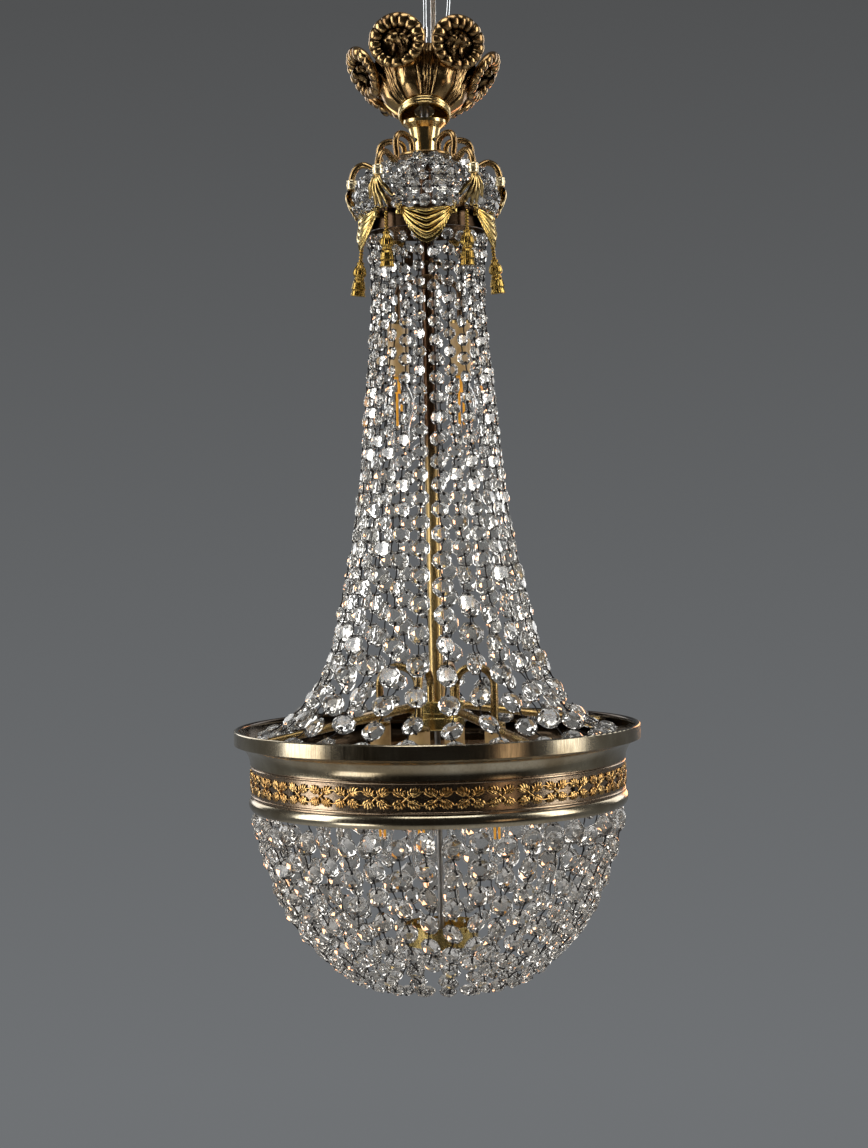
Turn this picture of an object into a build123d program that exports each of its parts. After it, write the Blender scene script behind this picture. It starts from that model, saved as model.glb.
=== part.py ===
"""A crystal basket chandelier with a bead tent, a beaded crown and a loose ceiling canopy.

Millimetres, +Z up. The origin is the centre of the bore of the hanging eye, which carries
everything. Angles round the stem are azimuths: 0 looks out of the front (-Y), 90 is +X.
"""
from build123d import *
import math
import os
import random

os.makedirs("parts", exist_ok=True)
random.seed(7)

# clearances
seat_gap = 0.3
running_gap = 0.4
thread_gap = 0.2
wire_gap = 0.25

# hanging eye, rod and stem
eye_bore_r = 7.5
eye_wall = 5.5
eye_thickness = 6
eye_shank_length = 8
eye_shank_wall = 3
eye_web = 2
rod_r = 4.8
stem_r = 7
stem_length = 541
rod_chamfer = 0.6

# neck
flange_drop = 49
flange_r = 21
flange_thickness = 3
neck_height = 33
neck_waist_r = 12.4
neck_shoulder_r = 16
neck_shoulder_drop = 8
neck_screw_r = 1.8
neck_bore_start = 4
neck_screw_length = 4
neck_screw_drop = 20
neck_screw_count = 4
neck_screw_azimuth = 45
neck_waist_flare = 0.5

# crown
crown_sides = 5
crown_plate_r = 27
crown_plate_thickness = 3
crown_ring_r = 60
crown_ring_wall = 3
crown_ring_height = 20
crown_ring_drop = 140
arm_r = 2.6
arm_foot_r = 22
arm_boss_r = 5.2
arm_boss_place = (76, -25)
arm_corners = [(47, 14), (49, -6), (60, 2), (76, -9), (77, -54)]
arm_bend_radii = [9, 7, 3.5, 8, 12, 12, 4]
arm_top = 14
arm_end = 9
crown_stone = 12
crown_stone_gap = 1.6
garland_arm_r = 44
arm_steps = 80
garland_side_gap = 4
garland_lift = 0.5
garland_least_lift = -0.3
garland_fall = 40

# drapery and tassels
swag_half_width = 27
swag_height = 36
swag_thickness = 2.5
swag_lean = 5
swag_curve_width = 0.62
swag_curve_drop = 0.68
swag_reach = 40
tassel_pivot_r = 66.5
tassel_pin_r = 1.2
tassel_eye_wall = 1.4
tassel_eye_thickness = 2
tassel_ear_thickness = 1.5
tassel_rope_r = 2
tassel_rope_length = 19
tassel_head_r = 4.2
tassel_head_length = 16
tassel_skirt_r = 5.4
tassel_skirt_length = 18
tassel_extra = 20
tassel_long_lean = 6
tassel_pin_drop = 4
tassel_head_taper = 0.8
tassel_waist = 0.6
tassel_shoulder = 2
tassel_belly_rise = 4

# upper lamps
cross_bar_drop = 189
cross_bar_length = 56
cross_bar_width = 6
cross_bar_thickness = 4
clamp_block_width = 9
clamp_block_height = 10
clamp_share = 1 / 3
clamp_hole_r = 2
upper_collar_drop = 202
upper_collar_r = 11
upper_collar_height = 14
upper_lamp_r = 31
upper_arm_r = 2.8
upper_arm_bend = 13
upper_lamp_drop = 247

# lamps
holder_r = 10.5
holder_height = 12
cup_share = 1 / 3
cup_chamfer = 1.2
holder_in_sleeve = 1 / 4
sleeve_r = 10.4
sleeve_wall = 1.2
upper_sleeve_length = 52
lower_sleeve_length = 64
cap_r = 6.8
cap_length = 24
bulb_r = 15.5
bulb_length = 74
bulb_throat_r = 6
bulb_wall = 1
bulb_belly = 0.38
bulb_shoulder = (0.62, 0.76)
bulb_tangents = [(0.35, -1), (-1, 0)]
bulb_stem_share = 0.22
filament_r = 1.1
filament_length = 32
filament_spread = 3.2
filament_count = 4
filament_start = 45
filament_stem = 1.4
filament_ring_wall = 0.5

# hub, lower lamps and spokes
hub_r = 28
hub_height = 13
hub_groove_r = 25
hub_groove = 3
lower_lamp_r = 60
lower_lamp_count = 4
lower_lamp_azimuth = -17
lower_arm_r = 3.8
lower_arm_foot_r = 20
lower_arm_rise = 13
lower_arm_fall = 22
spoke_r = 4
spoke_azimuth = 28
spoke_count = 4
spoke_foot_r = 6.5
spoke_foot_length = 3

# main ring
ring_drop = 652
rim_r = 203
rim_height = 13
rim_wall = 4
rim_roll_r = 2.5
cove_height = 20
cove_inset = 1.5
cove_hollow = 5
cove_hollow_share = 0.4
frieze_r = 186
frieze_height = 33
frieze_wall = 2.5
bead_r = 1.3
ledge_inner_r = 183
ledge_thickness = 2
moulding_height = 12
moulding_bulge = 3.5
ornament_height = 20
ornament_thickness = 1.6
ornament_count = 40
ornament_eye_r = 4.2
ornament_gap = 0.1
ornament_eye_length = 4
frieze_screw_head = 1 / 4
frieze_screw_r = 2
frieze_screw_length = 5
frieze_screw_count = 4
frieze_screw_azimuth = 43

# bottom rod and collar
bottom_rod_r = 3
collar_r = 37
collar_height = 20
collar_wall = 1.5
collar_floor = 2
collar_hole_r = 2
collar_hole_count = 22
collar_hole_reach = 4
collar_drop = 850
nut_r = 8
nut_height = 7
nut_sides = 6

# strings of crystals
pin_side = 0.9
pin_depth = 0.6
steep_run = 0.9
string_pitch = 1.3
tent_strings = 24
tent_start = 20.5
tent_foot_inset = 7
basket_top_inset = 0.5
basket_end_gap = 2.5
basket_end_drop = 3
basket_foot_share = 0.3
basket_start = 4
basket_strings = 44
crystal_depth = 0.46
crystal_table = 0.56
crystal_twist = 38
crystal_sides = 8
crystal_turn = 22.5
string_shift = 0.22
basket_short_stones = 6
basket_long_stones = 9
tent_stones_joined = 6
basket_stones_joined = 3

# ceiling canopy
canopy_collar_depth = 7
canopy_collar_gap = 1.6
canopy_collar_wall = 2.2
canopy_floor = 2
canopy_hole_r = 10
canopy_tilt = 26
canopy_wall = 2.5
canopy_cup_height = 40
canopy_swell_share = 0.45
canopy_shoulder_share = 0.85
canopy_swell = 4
canopy_staves = 12
canopy_cup_r = 45
canopy_brim_r = 56
lobe_count = 6
lobe_azimuth = 35
lobe_centre_r = 60
lobe_centre_height = 45
lobe_ring_r = 17
lobe_roll_r = 8.5
lobe_face_down = 35

# suspension lines, supply flex and ceiling plate
ceiling_plate_rise = 97
ceiling_plate_r = 32
ceiling_plate_thickness = 8
ceiling_plate_fillet = 3
line_r = 1.6
flex_r = 2.8
terminal_length = 22
terminal_width = 11
terminal_height = 9
crimp_r = 2.6
crimp_length = 10
crimp_z = 36
crimp_gap = 0.15
bend_share = 0.45
terminal_rise = 12

# levels that follow from the sizes above
flange_z = -flange_drop
neck_base_z = flange_z - neck_height
crown_plate_z = neck_base_z - crown_plate_thickness
stem_top_z = crown_plate_z
stem_base_z = stem_top_z - stem_length
crown_ring_z = -crown_ring_drop
ring_z = -ring_drop
cove_z = ring_z - rim_height
frieze_z = cove_z - cove_height
moulding_z = frieze_z - frieze_height
ring_base_z = moulding_z - moulding_height
hub_base_z = stem_base_z - 2 * hub_height - hub_groove
collar_z = -collar_drop
collar_base_z = collar_z - collar_height
sleeve_bore_r = sleeve_r - sleeve_wall
canopy_collar_r = flange_r + canopy_collar_gap


def radial_plane(azimuth):
    """The upright plane through the stem whose X runs outwards at this azimuth."""
    turn = math.radians(azimuth)
    outwards = Vector(math.sin(turn), -math.cos(turn), 0)
    return Plane(origin=(0, 0, 0), x_dir=outwards, z_dir=outwards.cross(Vector(0, 0, 1)))


def place(azimuth, radius, height):
    """The point at this azimuth, distance from the stem and level."""
    return radial_plane(azimuth).from_local_coords(Vector(radius, height, 0))


def save(shape, name):
    """Label one finished piece and write its own file."""
    shape.label = name
    export_step(shape, f"parts/{name}.step")


def save_group(solids, name):
    """Write separate solids that share one name."""
    save(Compound(children=list(solids)), name)


# ---------------------------------------------------------------- hanging eye, rod and stem
eye_r = eye_bore_r + eye_wall
with BuildPart() as hanging_eye:
    with BuildSketch(Plane.XZ) as eye_outline:
        Circle(eye_r)
        with Locations((0, -eye_r)):
            Rectangle(2 * (rod_r + eye_web), 2 * eye_shank_length)
        Circle(eye_bore_r, mode=Mode.SUBTRACT)
    extrude(amount=eye_thickness / 2, both=True)
    shank_top = Plane.XY.offset(-eye_r - eye_shank_length / 2)
    with BuildSketch(shank_top) as shank:
        Circle(rod_r + eye_shank_wall)
    extrude(amount=-eye_shank_length)
eye_base_z = -eye_r - 1.5 * eye_shank_length
save(hanging_eye.part, "hanging_eye")

rod_length = eye_base_z - hub_base_z
with BuildPart() as centre_rod:
    with BuildSketch(Plane.XY.offset(eye_base_z)):
        Circle(rod_r)
    extrude(amount=-rod_length)
    chamfer(centre_rod.edges().filter_by(GeomType.CIRCLE).sort_by(Axis.Z)[0], rod_chamfer)
save(centre_rod.part, "centre_rod")

with BuildPart() as stem_tube:
    with BuildSketch(Plane.XY.offset(stem_top_z)):
        Circle(stem_r)
        Circle(rod_r + thread_gap, mode=Mode.SUBTRACT)
    extrude(amount=-stem_length)
save(stem_tube.part, "stem_tube")

# ---------------------------------------------------------------- neck
flange_base_z = flange_z - flange_thickness
shoulder_z = flange_z - neck_shoulder_drop
with BuildPart() as neck_collar:
    with BuildSketch(Plane.XZ) as neck_profile:
        with BuildLine():
            rod_wall = rod_r + thread_gap
            Polyline(
                (neck_waist_r, neck_base_z),
                (rod_wall, neck_base_z),
                (rod_wall, flange_z),
                (flange_r, flange_z),
                (flange_r, flange_base_z),
                (neck_shoulder_r, shoulder_z),
            )
            waist_z = neck_base_z + neck_height / 3
            Spline(
                (neck_shoulder_r, shoulder_z),
                (neck_waist_r + neck_waist_flare, waist_z),
                (neck_waist_r, neck_base_z),
            )
        make_face()
    revolve(axis=Axis.Z)
    screw_plane_z = flange_z - neck_screw_drop
    with PolarLocations(0, neck_screw_count, start_angle=neck_screw_azimuth):
        with Locations(Location((neck_waist_r + neck_bore_start, 0, screw_plane_z), (0, 90, 0))):
            Cylinder(
                neck_screw_r + running_gap,
                neck_waist_r + neck_bore_start,
                align=(Align.CENTER, Align.CENTER, Align.MAX),
                mode=Mode.SUBTRACT,
            )
save(neck_collar.part, "neck_collar")

screws = []
for screw in range(neck_screw_count):
    azimuth = neck_screw_azimuth + 360 / neck_screw_count * screw
    inner = place(azimuth, rod_r + seat_gap, screw_plane_z)
    outwards = place(azimuth, 1, 0)
    with BuildPart() as neck_screw:
        with BuildSketch(Plane(origin=inner, z_dir=outwards)):
            Circle(neck_screw_r)
        extrude(amount=neck_waist_r - rod_r + neck_screw_length / 2)
    screws.append(neck_screw.part)
save_group(screws, "neck_set_screws")

# ---------------------------------------------------------------- crown plate, arms and ring
with BuildPart() as crown_plate:
    with BuildSketch(Plane.XY.offset(neck_base_z)):
        Circle(crown_plate_r)
        Circle(rod_r + thread_gap, mode=Mode.SUBTRACT)
    extrude(amount=-crown_plate_thickness)
    fillet(crown_plate.edges().filter_by(GeomType.CIRCLE).sort_by(SortBy.RADIUS)[-2:], 1)
save(crown_plate.part, "crown_plate")

# distance from the stem and level of each bend of a scroll arm, from the plate to the ring
crown_seat_r = crown_ring_r - crown_ring_wall / 2
arm_bends = [
    (arm_foot_r, neck_base_z),
    (arm_foot_r, neck_base_z + arm_top),
    *[(bend_r, neck_base_z + rise) for bend_r, rise in arm_corners],
    (crown_seat_r, crown_ring_z + arm_end),
    (crown_seat_r, crown_ring_z),
]


def scroll_arm(azimuth):
    """A brass rod scroll with its boss, standing on the plate and holding the ring."""
    with BuildPart() as arm:
        with BuildLine(radial_plane(azimuth)) as route:
            FilletPolyline(*arm_bends, radius=arm_bend_radii)
        with BuildSketch(Plane(origin=route.line @ 0, z_dir=route.line % 0)):
            Circle(arm_r)
        sweep(path=route.line)
        with Locations(place(azimuth, arm_boss_place[0], neck_base_z + arm_boss_place[1])):
            Sphere(arm_boss_r)
    return arm.part


arm_azimuths = [180 / crown_sides + 360 / crown_sides * side for side in range(crown_sides)]
for number, azimuth in enumerate(arm_azimuths, start=1):
    save(scroll_arm(azimuth), f"crown_arm_{number}")

crown_ring_base_z = crown_ring_z - crown_ring_height
with BuildPart() as crown_ring:
    with BuildSketch(Plane.XY.offset(crown_ring_z)):
        Circle(crown_ring_r)
        Circle(crown_ring_r - crown_ring_wall, mode=Mode.SUBTRACT)
    extrude(amount=-crown_ring_height)
save(crown_ring.part, "crown_ring")

# ---------------------------------------------------------------- drapery swags
swag_z = crown_ring_z - 1
swag_r = crown_ring_r + seat_gap


def swag(azimuth):
    """One cast swag: a leaning curved plate cut to the outline of a hanging cloth."""
    with BuildPart() as drape:
        with BuildSketch(Plane.XZ):
            with BuildLine():
                Polyline(
                    (swag_r, swag_z),
                    (swag_r + swag_thickness, swag_z),
                    (swag_r + swag_thickness + swag_lean, swag_z - swag_height),
                    (swag_r + swag_lean, swag_z - swag_height),
                    close=True,
                )
            make_face()
        revolve(axis=Axis.Z)
        with BuildSketch(Plane(origin=(0, 0, 0), x_dir=(1, 0, 0), z_dir=(0, -1, 0))):
            with BuildLine():
                Line((-swag_half_width, swag_z), (swag_half_width, swag_z))
                ThreePointArc(
                    (swag_half_width, swag_z),
                    (swag_half_width * swag_curve_width, swag_z - swag_height * swag_curve_drop),
                    (0, swag_z - swag_height),
                )
                ThreePointArc(
                    (0, swag_z - swag_height),
                    (-swag_half_width * swag_curve_width, swag_z - swag_height * swag_curve_drop),
                    (-swag_half_width, swag_z),
                )
            make_face()
        extrude(amount=swag_r + swag_reach, mode=Mode.INTERSECT)
    return drape.part.rotate(Axis.Z, azimuth)


save_group([swag(360 / crown_sides * side) for side in range(crown_sides)], "drapery_swags")

# ---------------------------------------------------------------- tassels and their brackets
tassel_pin_z = crown_ring_z - tassel_pin_drop
ear_inner = tassel_eye_thickness / 2 + running_gap
ear_outer = ear_inner + tassel_ear_thickness


def tassel_bracket(azimuth):
    """Two ears soldered to the crown ring with a pin across them."""
    with BuildPart() as bracket:
        for side in (-1, 1):
            with BuildSketch(Plane.YZ.offset(side * ear_inner)):
                with Locations((-(crown_ring_r + seat_gap + tassel_pivot_r) / 2, tassel_pin_z)):
                    Rectangle(tassel_pivot_r - crown_ring_r - seat_gap, 2 * tassel_pin_r + 2)
                with Locations((-tassel_pivot_r, tassel_pin_z)):
                    Circle(tassel_pin_r + 1)
            extrude(amount=side * tassel_ear_thickness)
        with BuildSketch(Plane.YZ):
            with Locations((-tassel_pivot_r, tassel_pin_z)):
                Circle(tassel_pin_r)
        extrude(amount=ear_outer, both=True)
    return bracket.part.rotate(Axis.Z, azimuth)


save_group([tassel_bracket(azimuth) for azimuth in arm_azimuths], "tassel_brackets")


def tassel(azimuth, extra, lean):
    """A cast rope and two-tier tassel that hangs by an eye from its pin."""
    eye_inner = tassel_pin_r + running_gap
    rope_top = -eye_inner - tassel_eye_wall / 2
    head_top = rope_top - tassel_rope_length - extra
    skirt_top = head_top - tassel_head_length
    skirt_base = skirt_top - tassel_skirt_length
    with BuildPart() as hanging:
        with BuildSketch(Plane.XZ):
            with BuildLine():
                Line((0, skirt_base), (0, rope_top))
                Polyline(
                    (0, rope_top),
                    (tassel_rope_r, rope_top),
                    (tassel_rope_r, head_top),
                    (tassel_head_r * tassel_head_taper, head_top - tassel_shoulder),
                    (tassel_head_r, skirt_top + tassel_belly_rise),
                    (tassel_head_r * tassel_waist, skirt_top),
                    (tassel_skirt_r * tassel_head_taper, skirt_top - tassel_belly_rise),
                    (tassel_skirt_r, skirt_base),
                    (0, skirt_base),
                )
            make_face()
        revolve(axis=Axis.Z)
        with BuildSketch(Plane.YZ):
            Circle(eye_inner + tassel_eye_wall)
        extrude(amount=tassel_eye_thickness / 2, both=True)
        with BuildSketch(Plane.YZ):
            Circle(eye_inner)
        extrude(amount=tassel_rope_r, both=True, mode=Mode.SUBTRACT)
    turned = hanging.part.rotate(Axis.X, -lean).rotate(Axis.Z, azimuth)
    return turned.moved(Location(place(azimuth, tassel_pivot_r, tassel_pin_z)))


long_tassels = (2, 4)
for number, azimuth in enumerate(arm_azimuths, start=1):
    is_long = number in long_tassels
    extra = tassel_extra if is_long else 0
    lean = tassel_long_lean if is_long else 0
    save(tassel(azimuth, extra, lean), f"tassel_{number}")

# ---------------------------------------------------------------- cross bar under the crown
stem_wall = stem_r + thread_gap
with BuildPart() as cross_bar:
    with BuildSketch(Plane.XY.offset(-cross_bar_drop)):
        Rectangle(cross_bar_length, cross_bar_width)
        Circle(stem_r + cross_bar_width / 2)
        Circle(stem_wall, mode=Mode.SUBTRACT)
    extrude(amount=-cross_bar_thickness)
save(cross_bar.part, "cross_bar")

with BuildPart() as cord_clamp:
    clamp_x = -cross_bar_length * clamp_share
    with BuildSketch(Plane(origin=(clamp_x, 0, -cross_bar_drop))):
        Rectangle(clamp_block_width, cross_bar_width)
    extrude(amount=clamp_block_height)
    with Locations((clamp_x, 0, -cross_bar_drop + clamp_block_height / 2)):
        Cylinder(clamp_hole_r, cross_bar_width, rotation=(90, 0, 0), mode=Mode.SUBTRACT)
save(cord_clamp.part, "cord_clamp")

# ---------------------------------------------------------------- upper lamp collar and arms
with BuildPart() as upper_lamp_collar:
    with BuildSketch(Plane.XY.offset(-upper_collar_drop)):
        Circle(upper_collar_r)
        Circle(stem_wall, mode=Mode.SUBTRACT)
    extrude(amount=-upper_collar_height)
    fillet(upper_lamp_collar.edges().filter_by(GeomType.CIRCLE).group_by(SortBy.RADIUS)[-1], 2)
save(upper_lamp_collar.part, "upper_lamp_collar")


def tube_along(route, tube_r):
    """A round tube drawn along a route of straight runs and tangent arcs."""
    with BuildPart() as tube:
        with BuildSketch(Plane(origin=route @ 0, z_dir=route % 0)):
            Circle(tube_r)
        sweep(path=route)
    return tube.part


upper_arm_z = -upper_collar_drop - upper_collar_height / 2
upper_cup_z = -upper_lamp_drop
for side, azimuth in (("right", 90), ("left", -90)):
    with BuildLine(radial_plane(azimuth)) as upper_route:
        FilletPolyline(
            (upper_collar_r + seat_gap, upper_arm_z),
            (upper_lamp_r, upper_arm_z),
            (upper_lamp_r, upper_cup_z),
            radius=upper_arm_bend,
        )
    save(tube_along(upper_route.line, upper_arm_r), f"upper_arm_{side}")

# ---------------------------------------------------------------- hub, lower arms and spokes
with BuildPart() as hub_upper:
    with BuildSketch(Plane.XY.offset(stem_base_z)):
        Circle(hub_r)
        Circle(rod_r + thread_gap, mode=Mode.SUBTRACT)
    extrude(amount=-hub_height)
    fillet(hub_upper.edges().filter_by(GeomType.CIRCLE).group_by(SortBy.RADIUS)[-1], 2)
save(hub_upper.part, "hub_upper")

lower_hub_z = stem_base_z - hub_height
with BuildPart() as hub_lower:
    with BuildSketch(Plane.XY.offset(lower_hub_z)):
        Circle(hub_groove_r)
    extrude(amount=-hub_groove)
    with BuildSketch(Plane.XY.offset(lower_hub_z - hub_groove)):
        Circle(hub_r)
    extrude(amount=-hub_height)
    fillet(hub_lower.edges().filter_by(GeomType.CIRCLE).group_by(SortBy.RADIUS)[-1], 2)
    with BuildSketch(Plane.XY.offset(hub_base_z)):
        Circle(rod_r + thread_gap)
    extrude(amount=hub_height + hub_groove, mode=Mode.SUBTRACT)
save(hub_lower.part, "hub_lower")

lower_cup_z = stem_base_z - lower_arm_fall
lower_arm_top_z = stem_base_z + lower_arm_rise + (lower_lamp_r - lower_arm_foot_r) / 2
lower_turn = 360 / lower_lamp_count
lower_azimuths = [lower_lamp_azimuth + lower_turn * lamp for lamp in range(lower_lamp_count)]
for number, azimuth in enumerate(lower_azimuths, start=1):
    with BuildLine(radial_plane(azimuth)) as lower_route:
        FilletPolyline(
            (lower_arm_foot_r, stem_base_z),
            (lower_arm_foot_r, lower_arm_top_z),
            (lower_lamp_r, lower_arm_top_z),
            (lower_lamp_r, lower_cup_z),
            radius=(lower_lamp_r - lower_arm_foot_r) / 2 - 1,
        )
    save(tube_along(lower_route.line, lower_arm_r), f"lower_arm_{number}")

# ---------------------------------------------------------------- lamps
upper_tops = [place(azimuth, upper_lamp_r, upper_cup_z) for azimuth in (90, -90)]
lower_tops = [place(azimuth, lower_lamp_r, lower_cup_z) for azimuth in lower_azimuths]
lamp_places = [(top, upper_sleeve_length) for top in upper_tops]
lamp_places += [(top, lower_sleeve_length) for top in lower_tops]
cup_height = holder_height * cup_share


def lamp_cup(top):
    """The brass cup that closes the sleeve and joins it to the arm."""
    with BuildPart() as cup:
        with BuildSketch(Plane(origin=top)):
            Circle(holder_r)
        extrude(amount=-cup_height)
        chamfer(cup.edges().filter_by(GeomType.CIRCLE).sort_by(Axis.Z)[-1], cup_chamfer)
    return cup.part


def lampholder(top, sleeve_length):
    """The insulated tube with the bulb's thread, inside the sleeve."""
    with BuildPart() as holder:
        with BuildSketch(Plane(origin=top - Vector(0, 0, cup_height))):
            Circle(sleeve_bore_r - running_gap)
            Circle(cap_r + thread_gap, mode=Mode.SUBTRACT)
        extrude(amount=-(sleeve_length - holder_height * holder_in_sleeve))
    return holder.part


def candle_sleeve(top, sleeve_length):
    """The plain tube that looks like a candle."""
    with BuildPart() as sleeve:
        with BuildSketch(Plane(origin=top - Vector(0, 0, cup_height))):
            Circle(sleeve_r)
            Circle(sleeve_bore_r, mode=Mode.SUBTRACT)
        extrude(amount=-sleeve_length)
    return sleeve.part


def bulb_cap(top, sleeve_length):
    """The screw cap of the bulb with its contact tip."""
    with BuildPart() as cap:
        with BuildSketch(Plane(origin=top - Vector(0, 0, cup_height + sleeve_length))):
            Circle(cap_r)
        extrude(amount=cap_length)
        chamfer(cap.edges().filter_by(GeomType.CIRCLE).sort_by(Axis.Z)[-1], 2)
    return cap.part


def bulb_profile(offset):
    """Half the outline of the glass, from its throat round to its tip."""
    belly = bulb_r - offset
    throat = bulb_throat_r - offset
    length = bulb_length - offset
    shoulder = (belly * bulb_shoulder[0], -bulb_length * bulb_shoulder[1])
    return [(throat, 0), (belly, -bulb_length * bulb_belly), shoulder, (0, -length)]


def bulb_glass(top, sleeve_length):
    """The thin clear glass of the bulb."""
    with BuildPart() as glass:
        with BuildSketch(Plane.XZ):
            with BuildLine():
                outer = Spline(*bulb_profile(0), tangents=bulb_tangents)
                inner = Spline(*bulb_profile(bulb_wall), tangents=bulb_tangents)
                Line(outer @ 1, inner @ 1)
                Line(outer @ 0, inner @ 0)
            make_face()
        revolve(axis=Axis.Z)
    neck = top - Vector(0, 0, cup_height + sleeve_length)
    return glass.part.moved(Location(neck))


def bulb_filaments(top, sleeve_length):
    """The glass stem and the light sticks round it."""
    with BuildPart() as lights:
        stem_end = bulb_length * bulb_stem_share
        with BuildSketch(Plane.XY):
            Circle(bulb_throat_r - bulb_wall - wire_gap)
        extrude(amount=-2)
        Cylinder(filament_r * filament_stem, stem_end, align=(Align.CENTER, Align.CENTER, Align.MAX))
        with BuildSketch(Plane.XY.offset(-stem_end)):
            Circle(filament_spread + filament_r + filament_ring_wall)
        extrude(amount=1)
        with BuildSketch(Plane.XY.offset(-stem_end)):
            with PolarLocations(filament_spread, filament_count, start_angle=filament_start):
                Circle(filament_r)
        extrude(amount=-filament_length)
    neck = top - Vector(0, 0, cup_height + sleeve_length)
    return lights.part.moved(Location(neck))


save_group([lamp_cup(top) for top, length in lamp_places], "lamp_cups")
save_group([lampholder(top, length) for top, length in lamp_places], "lampholders")
save_group([candle_sleeve(top, length) for top, length in lamp_places], "candle_sleeves")
save_group([bulb_cap(top, length) for top, length in lamp_places], "bulb_caps")
save_group([bulb_glass(top, length) for top, length in lamp_places], "bulb_glasses")
save_group([bulb_filaments(top, length) for top, length in lamp_places], "bulb_filaments")

# ---------------------------------------------------------------- main ring
rim_base_z = cove_z
with BuildPart() as rim_band:
    with BuildSketch(Plane.XZ):
        with BuildLine():
            Polyline(
                (rim_r - rim_wall, ring_z),
                (rim_r, ring_z),
                (rim_r, rim_base_z),
                (ledge_inner_r, rim_base_z),
                (ledge_inner_r, rim_base_z + ledge_thickness),
                (rim_r - rim_wall, rim_base_z + ledge_thickness),
                close=True,
            )
        make_face()
        with Locations((rim_r - rim_roll_r, ring_z - rim_roll_r / 2)):
            Circle(rim_roll_r)
    revolve(axis=Axis.Z)
save(rim_band.part, "rim_band")

frieze_bore_r = frieze_r - frieze_wall
with BuildPart() as cove_ring:
    with BuildSketch(Plane.XZ):
        with BuildLine():
            outer_foot = (frieze_r + cove_inset, frieze_z)
            outer_top = (rim_r - cove_inset, rim_base_z)
            inner_foot = (frieze_bore_r, frieze_z)
            inner_top = (rim_r - cove_inset - rim_wall, rim_base_z)
            hollow = Vector(frieze_r + cove_hollow, rim_base_z - cove_height * cove_hollow_share)
            wall = Vector(-frieze_wall, cove_inset)
            ThreePointArc(outer_foot, hollow, outer_top)
            Line(outer_top, inner_top)
            ThreePointArc(inner_top, hollow + wall, inner_foot)
            Line(inner_foot, outer_foot)
        make_face()
    revolve(axis=Axis.Z)
save(cove_ring.part, "cove_ring")

with BuildPart() as frieze_band:
    with BuildSketch(Plane.XZ):
        with BuildLine():
            Polyline(
                (frieze_bore_r, frieze_z),
                (frieze_r, frieze_z),
                (frieze_r, moulding_z),
                (frieze_bore_r, moulding_z),
                close=True,
            )
        make_face()
        with Locations((frieze_r, frieze_z - 2 * bead_r), (frieze_r, moulding_z + 2 * bead_r)):
            Circle(bead_r)
    revolve(axis=Axis.Z)
save(frieze_band.part, "frieze_band")

with BuildPart() as lower_moulding:
    with BuildSketch(Plane.XZ):
        with BuildLine():
            foot = (frieze_r + 1, ring_base_z)
            head = (frieze_r + 1, moulding_z)
            belly = (frieze_r + moulding_bulge, (moulding_z + ring_base_z) / 2)
            ThreePointArc(foot, belly, head)
            Polyline(head, (frieze_bore_r, moulding_z), (frieze_bore_r, ring_base_z), foot)
        make_face()
    revolve(axis=Axis.Z)
save(lower_moulding.part, "lower_moulding")

ornament_mid_z = (frieze_z + moulding_z) / 2
ornament_r = frieze_r + ornament_gap
with BuildPart() as frieze_ornament:
    with BuildSketch(Plane.XY.offset(ornament_mid_z - ornament_height / 2)):
        Circle(ornament_r + ornament_thickness)
        Circle(ornament_r, mode=Mode.SUBTRACT)
    extrude(amount=ornament_height)
    with Locations(Location((0, 0, ornament_mid_z))):
        with PolarLocations(ornament_r, ornament_count):
            eye_length = ornament_eye_length * ornament_thickness
            Cylinder(ornament_eye_r, eye_length, rotation=(0, 90, 0), mode=Mode.SUBTRACT)
save(frieze_ornament.part, "frieze_ornament")

screws = []
for screw in range(frieze_screw_count):
    azimuth = frieze_screw_azimuth + 360 / frieze_screw_count * screw
    start = place(azimuth, ornament_r + ornament_thickness + ornament_gap, ornament_mid_z)
    with BuildPart() as frieze_screw:
        with BuildSketch(Plane(origin=start, z_dir=place(azimuth, 1, 0))):
            Circle(frieze_screw_r)
        extrude(amount=frieze_screw_length * frieze_screw_head)
    screws.append(frieze_screw.part)
save_group(screws, "frieze_screws")

# ---------------------------------------------------------------- spokes from the hub to the ring
spoke_hub_z = stem_base_z - hub_height / 2
ledge_z = rim_base_z + ledge_thickness
spoke_end_r = (ledge_inner_r + rim_r - rim_wall) / 2
spoke_end_z = ledge_z + spoke_foot_length + spoke_r / 2
spokes = []
for spoke_number in range(spoke_count):
    azimuth = spoke_azimuth + 360 / spoke_count * spoke_number
    inner = place(azimuth, hub_r + seat_gap, spoke_hub_z)
    outer = place(azimuth, spoke_end_r, spoke_end_z)
    with BuildPart() as spoke:
        with BuildSketch(Plane(origin=inner, z_dir=outer - inner)):
            Circle(spoke_r)
        extrude(amount=(outer - inner).length)
        with BuildSketch(Plane(origin=place(azimuth, spoke_end_r, ledge_z))):
            Circle(spoke_foot_r)
        extrude(amount=spoke_foot_length + spoke_r)
    spokes.append(spoke.part)
save_group(spokes, "ring_spokes")

# ---------------------------------------------------------------- bottom rod, collar and nut
floor_z = collar_base_z + collar_floor
nut_z = collar_base_z
with BuildPart() as bottom_rod:
    with BuildSketch(Plane.XY.offset(hub_base_z)):
        Circle(bottom_rod_r)
    extrude(amount=nut_z - nut_height - 1 - hub_base_z)
save(bottom_rod.part, "bottom_rod")

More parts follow.
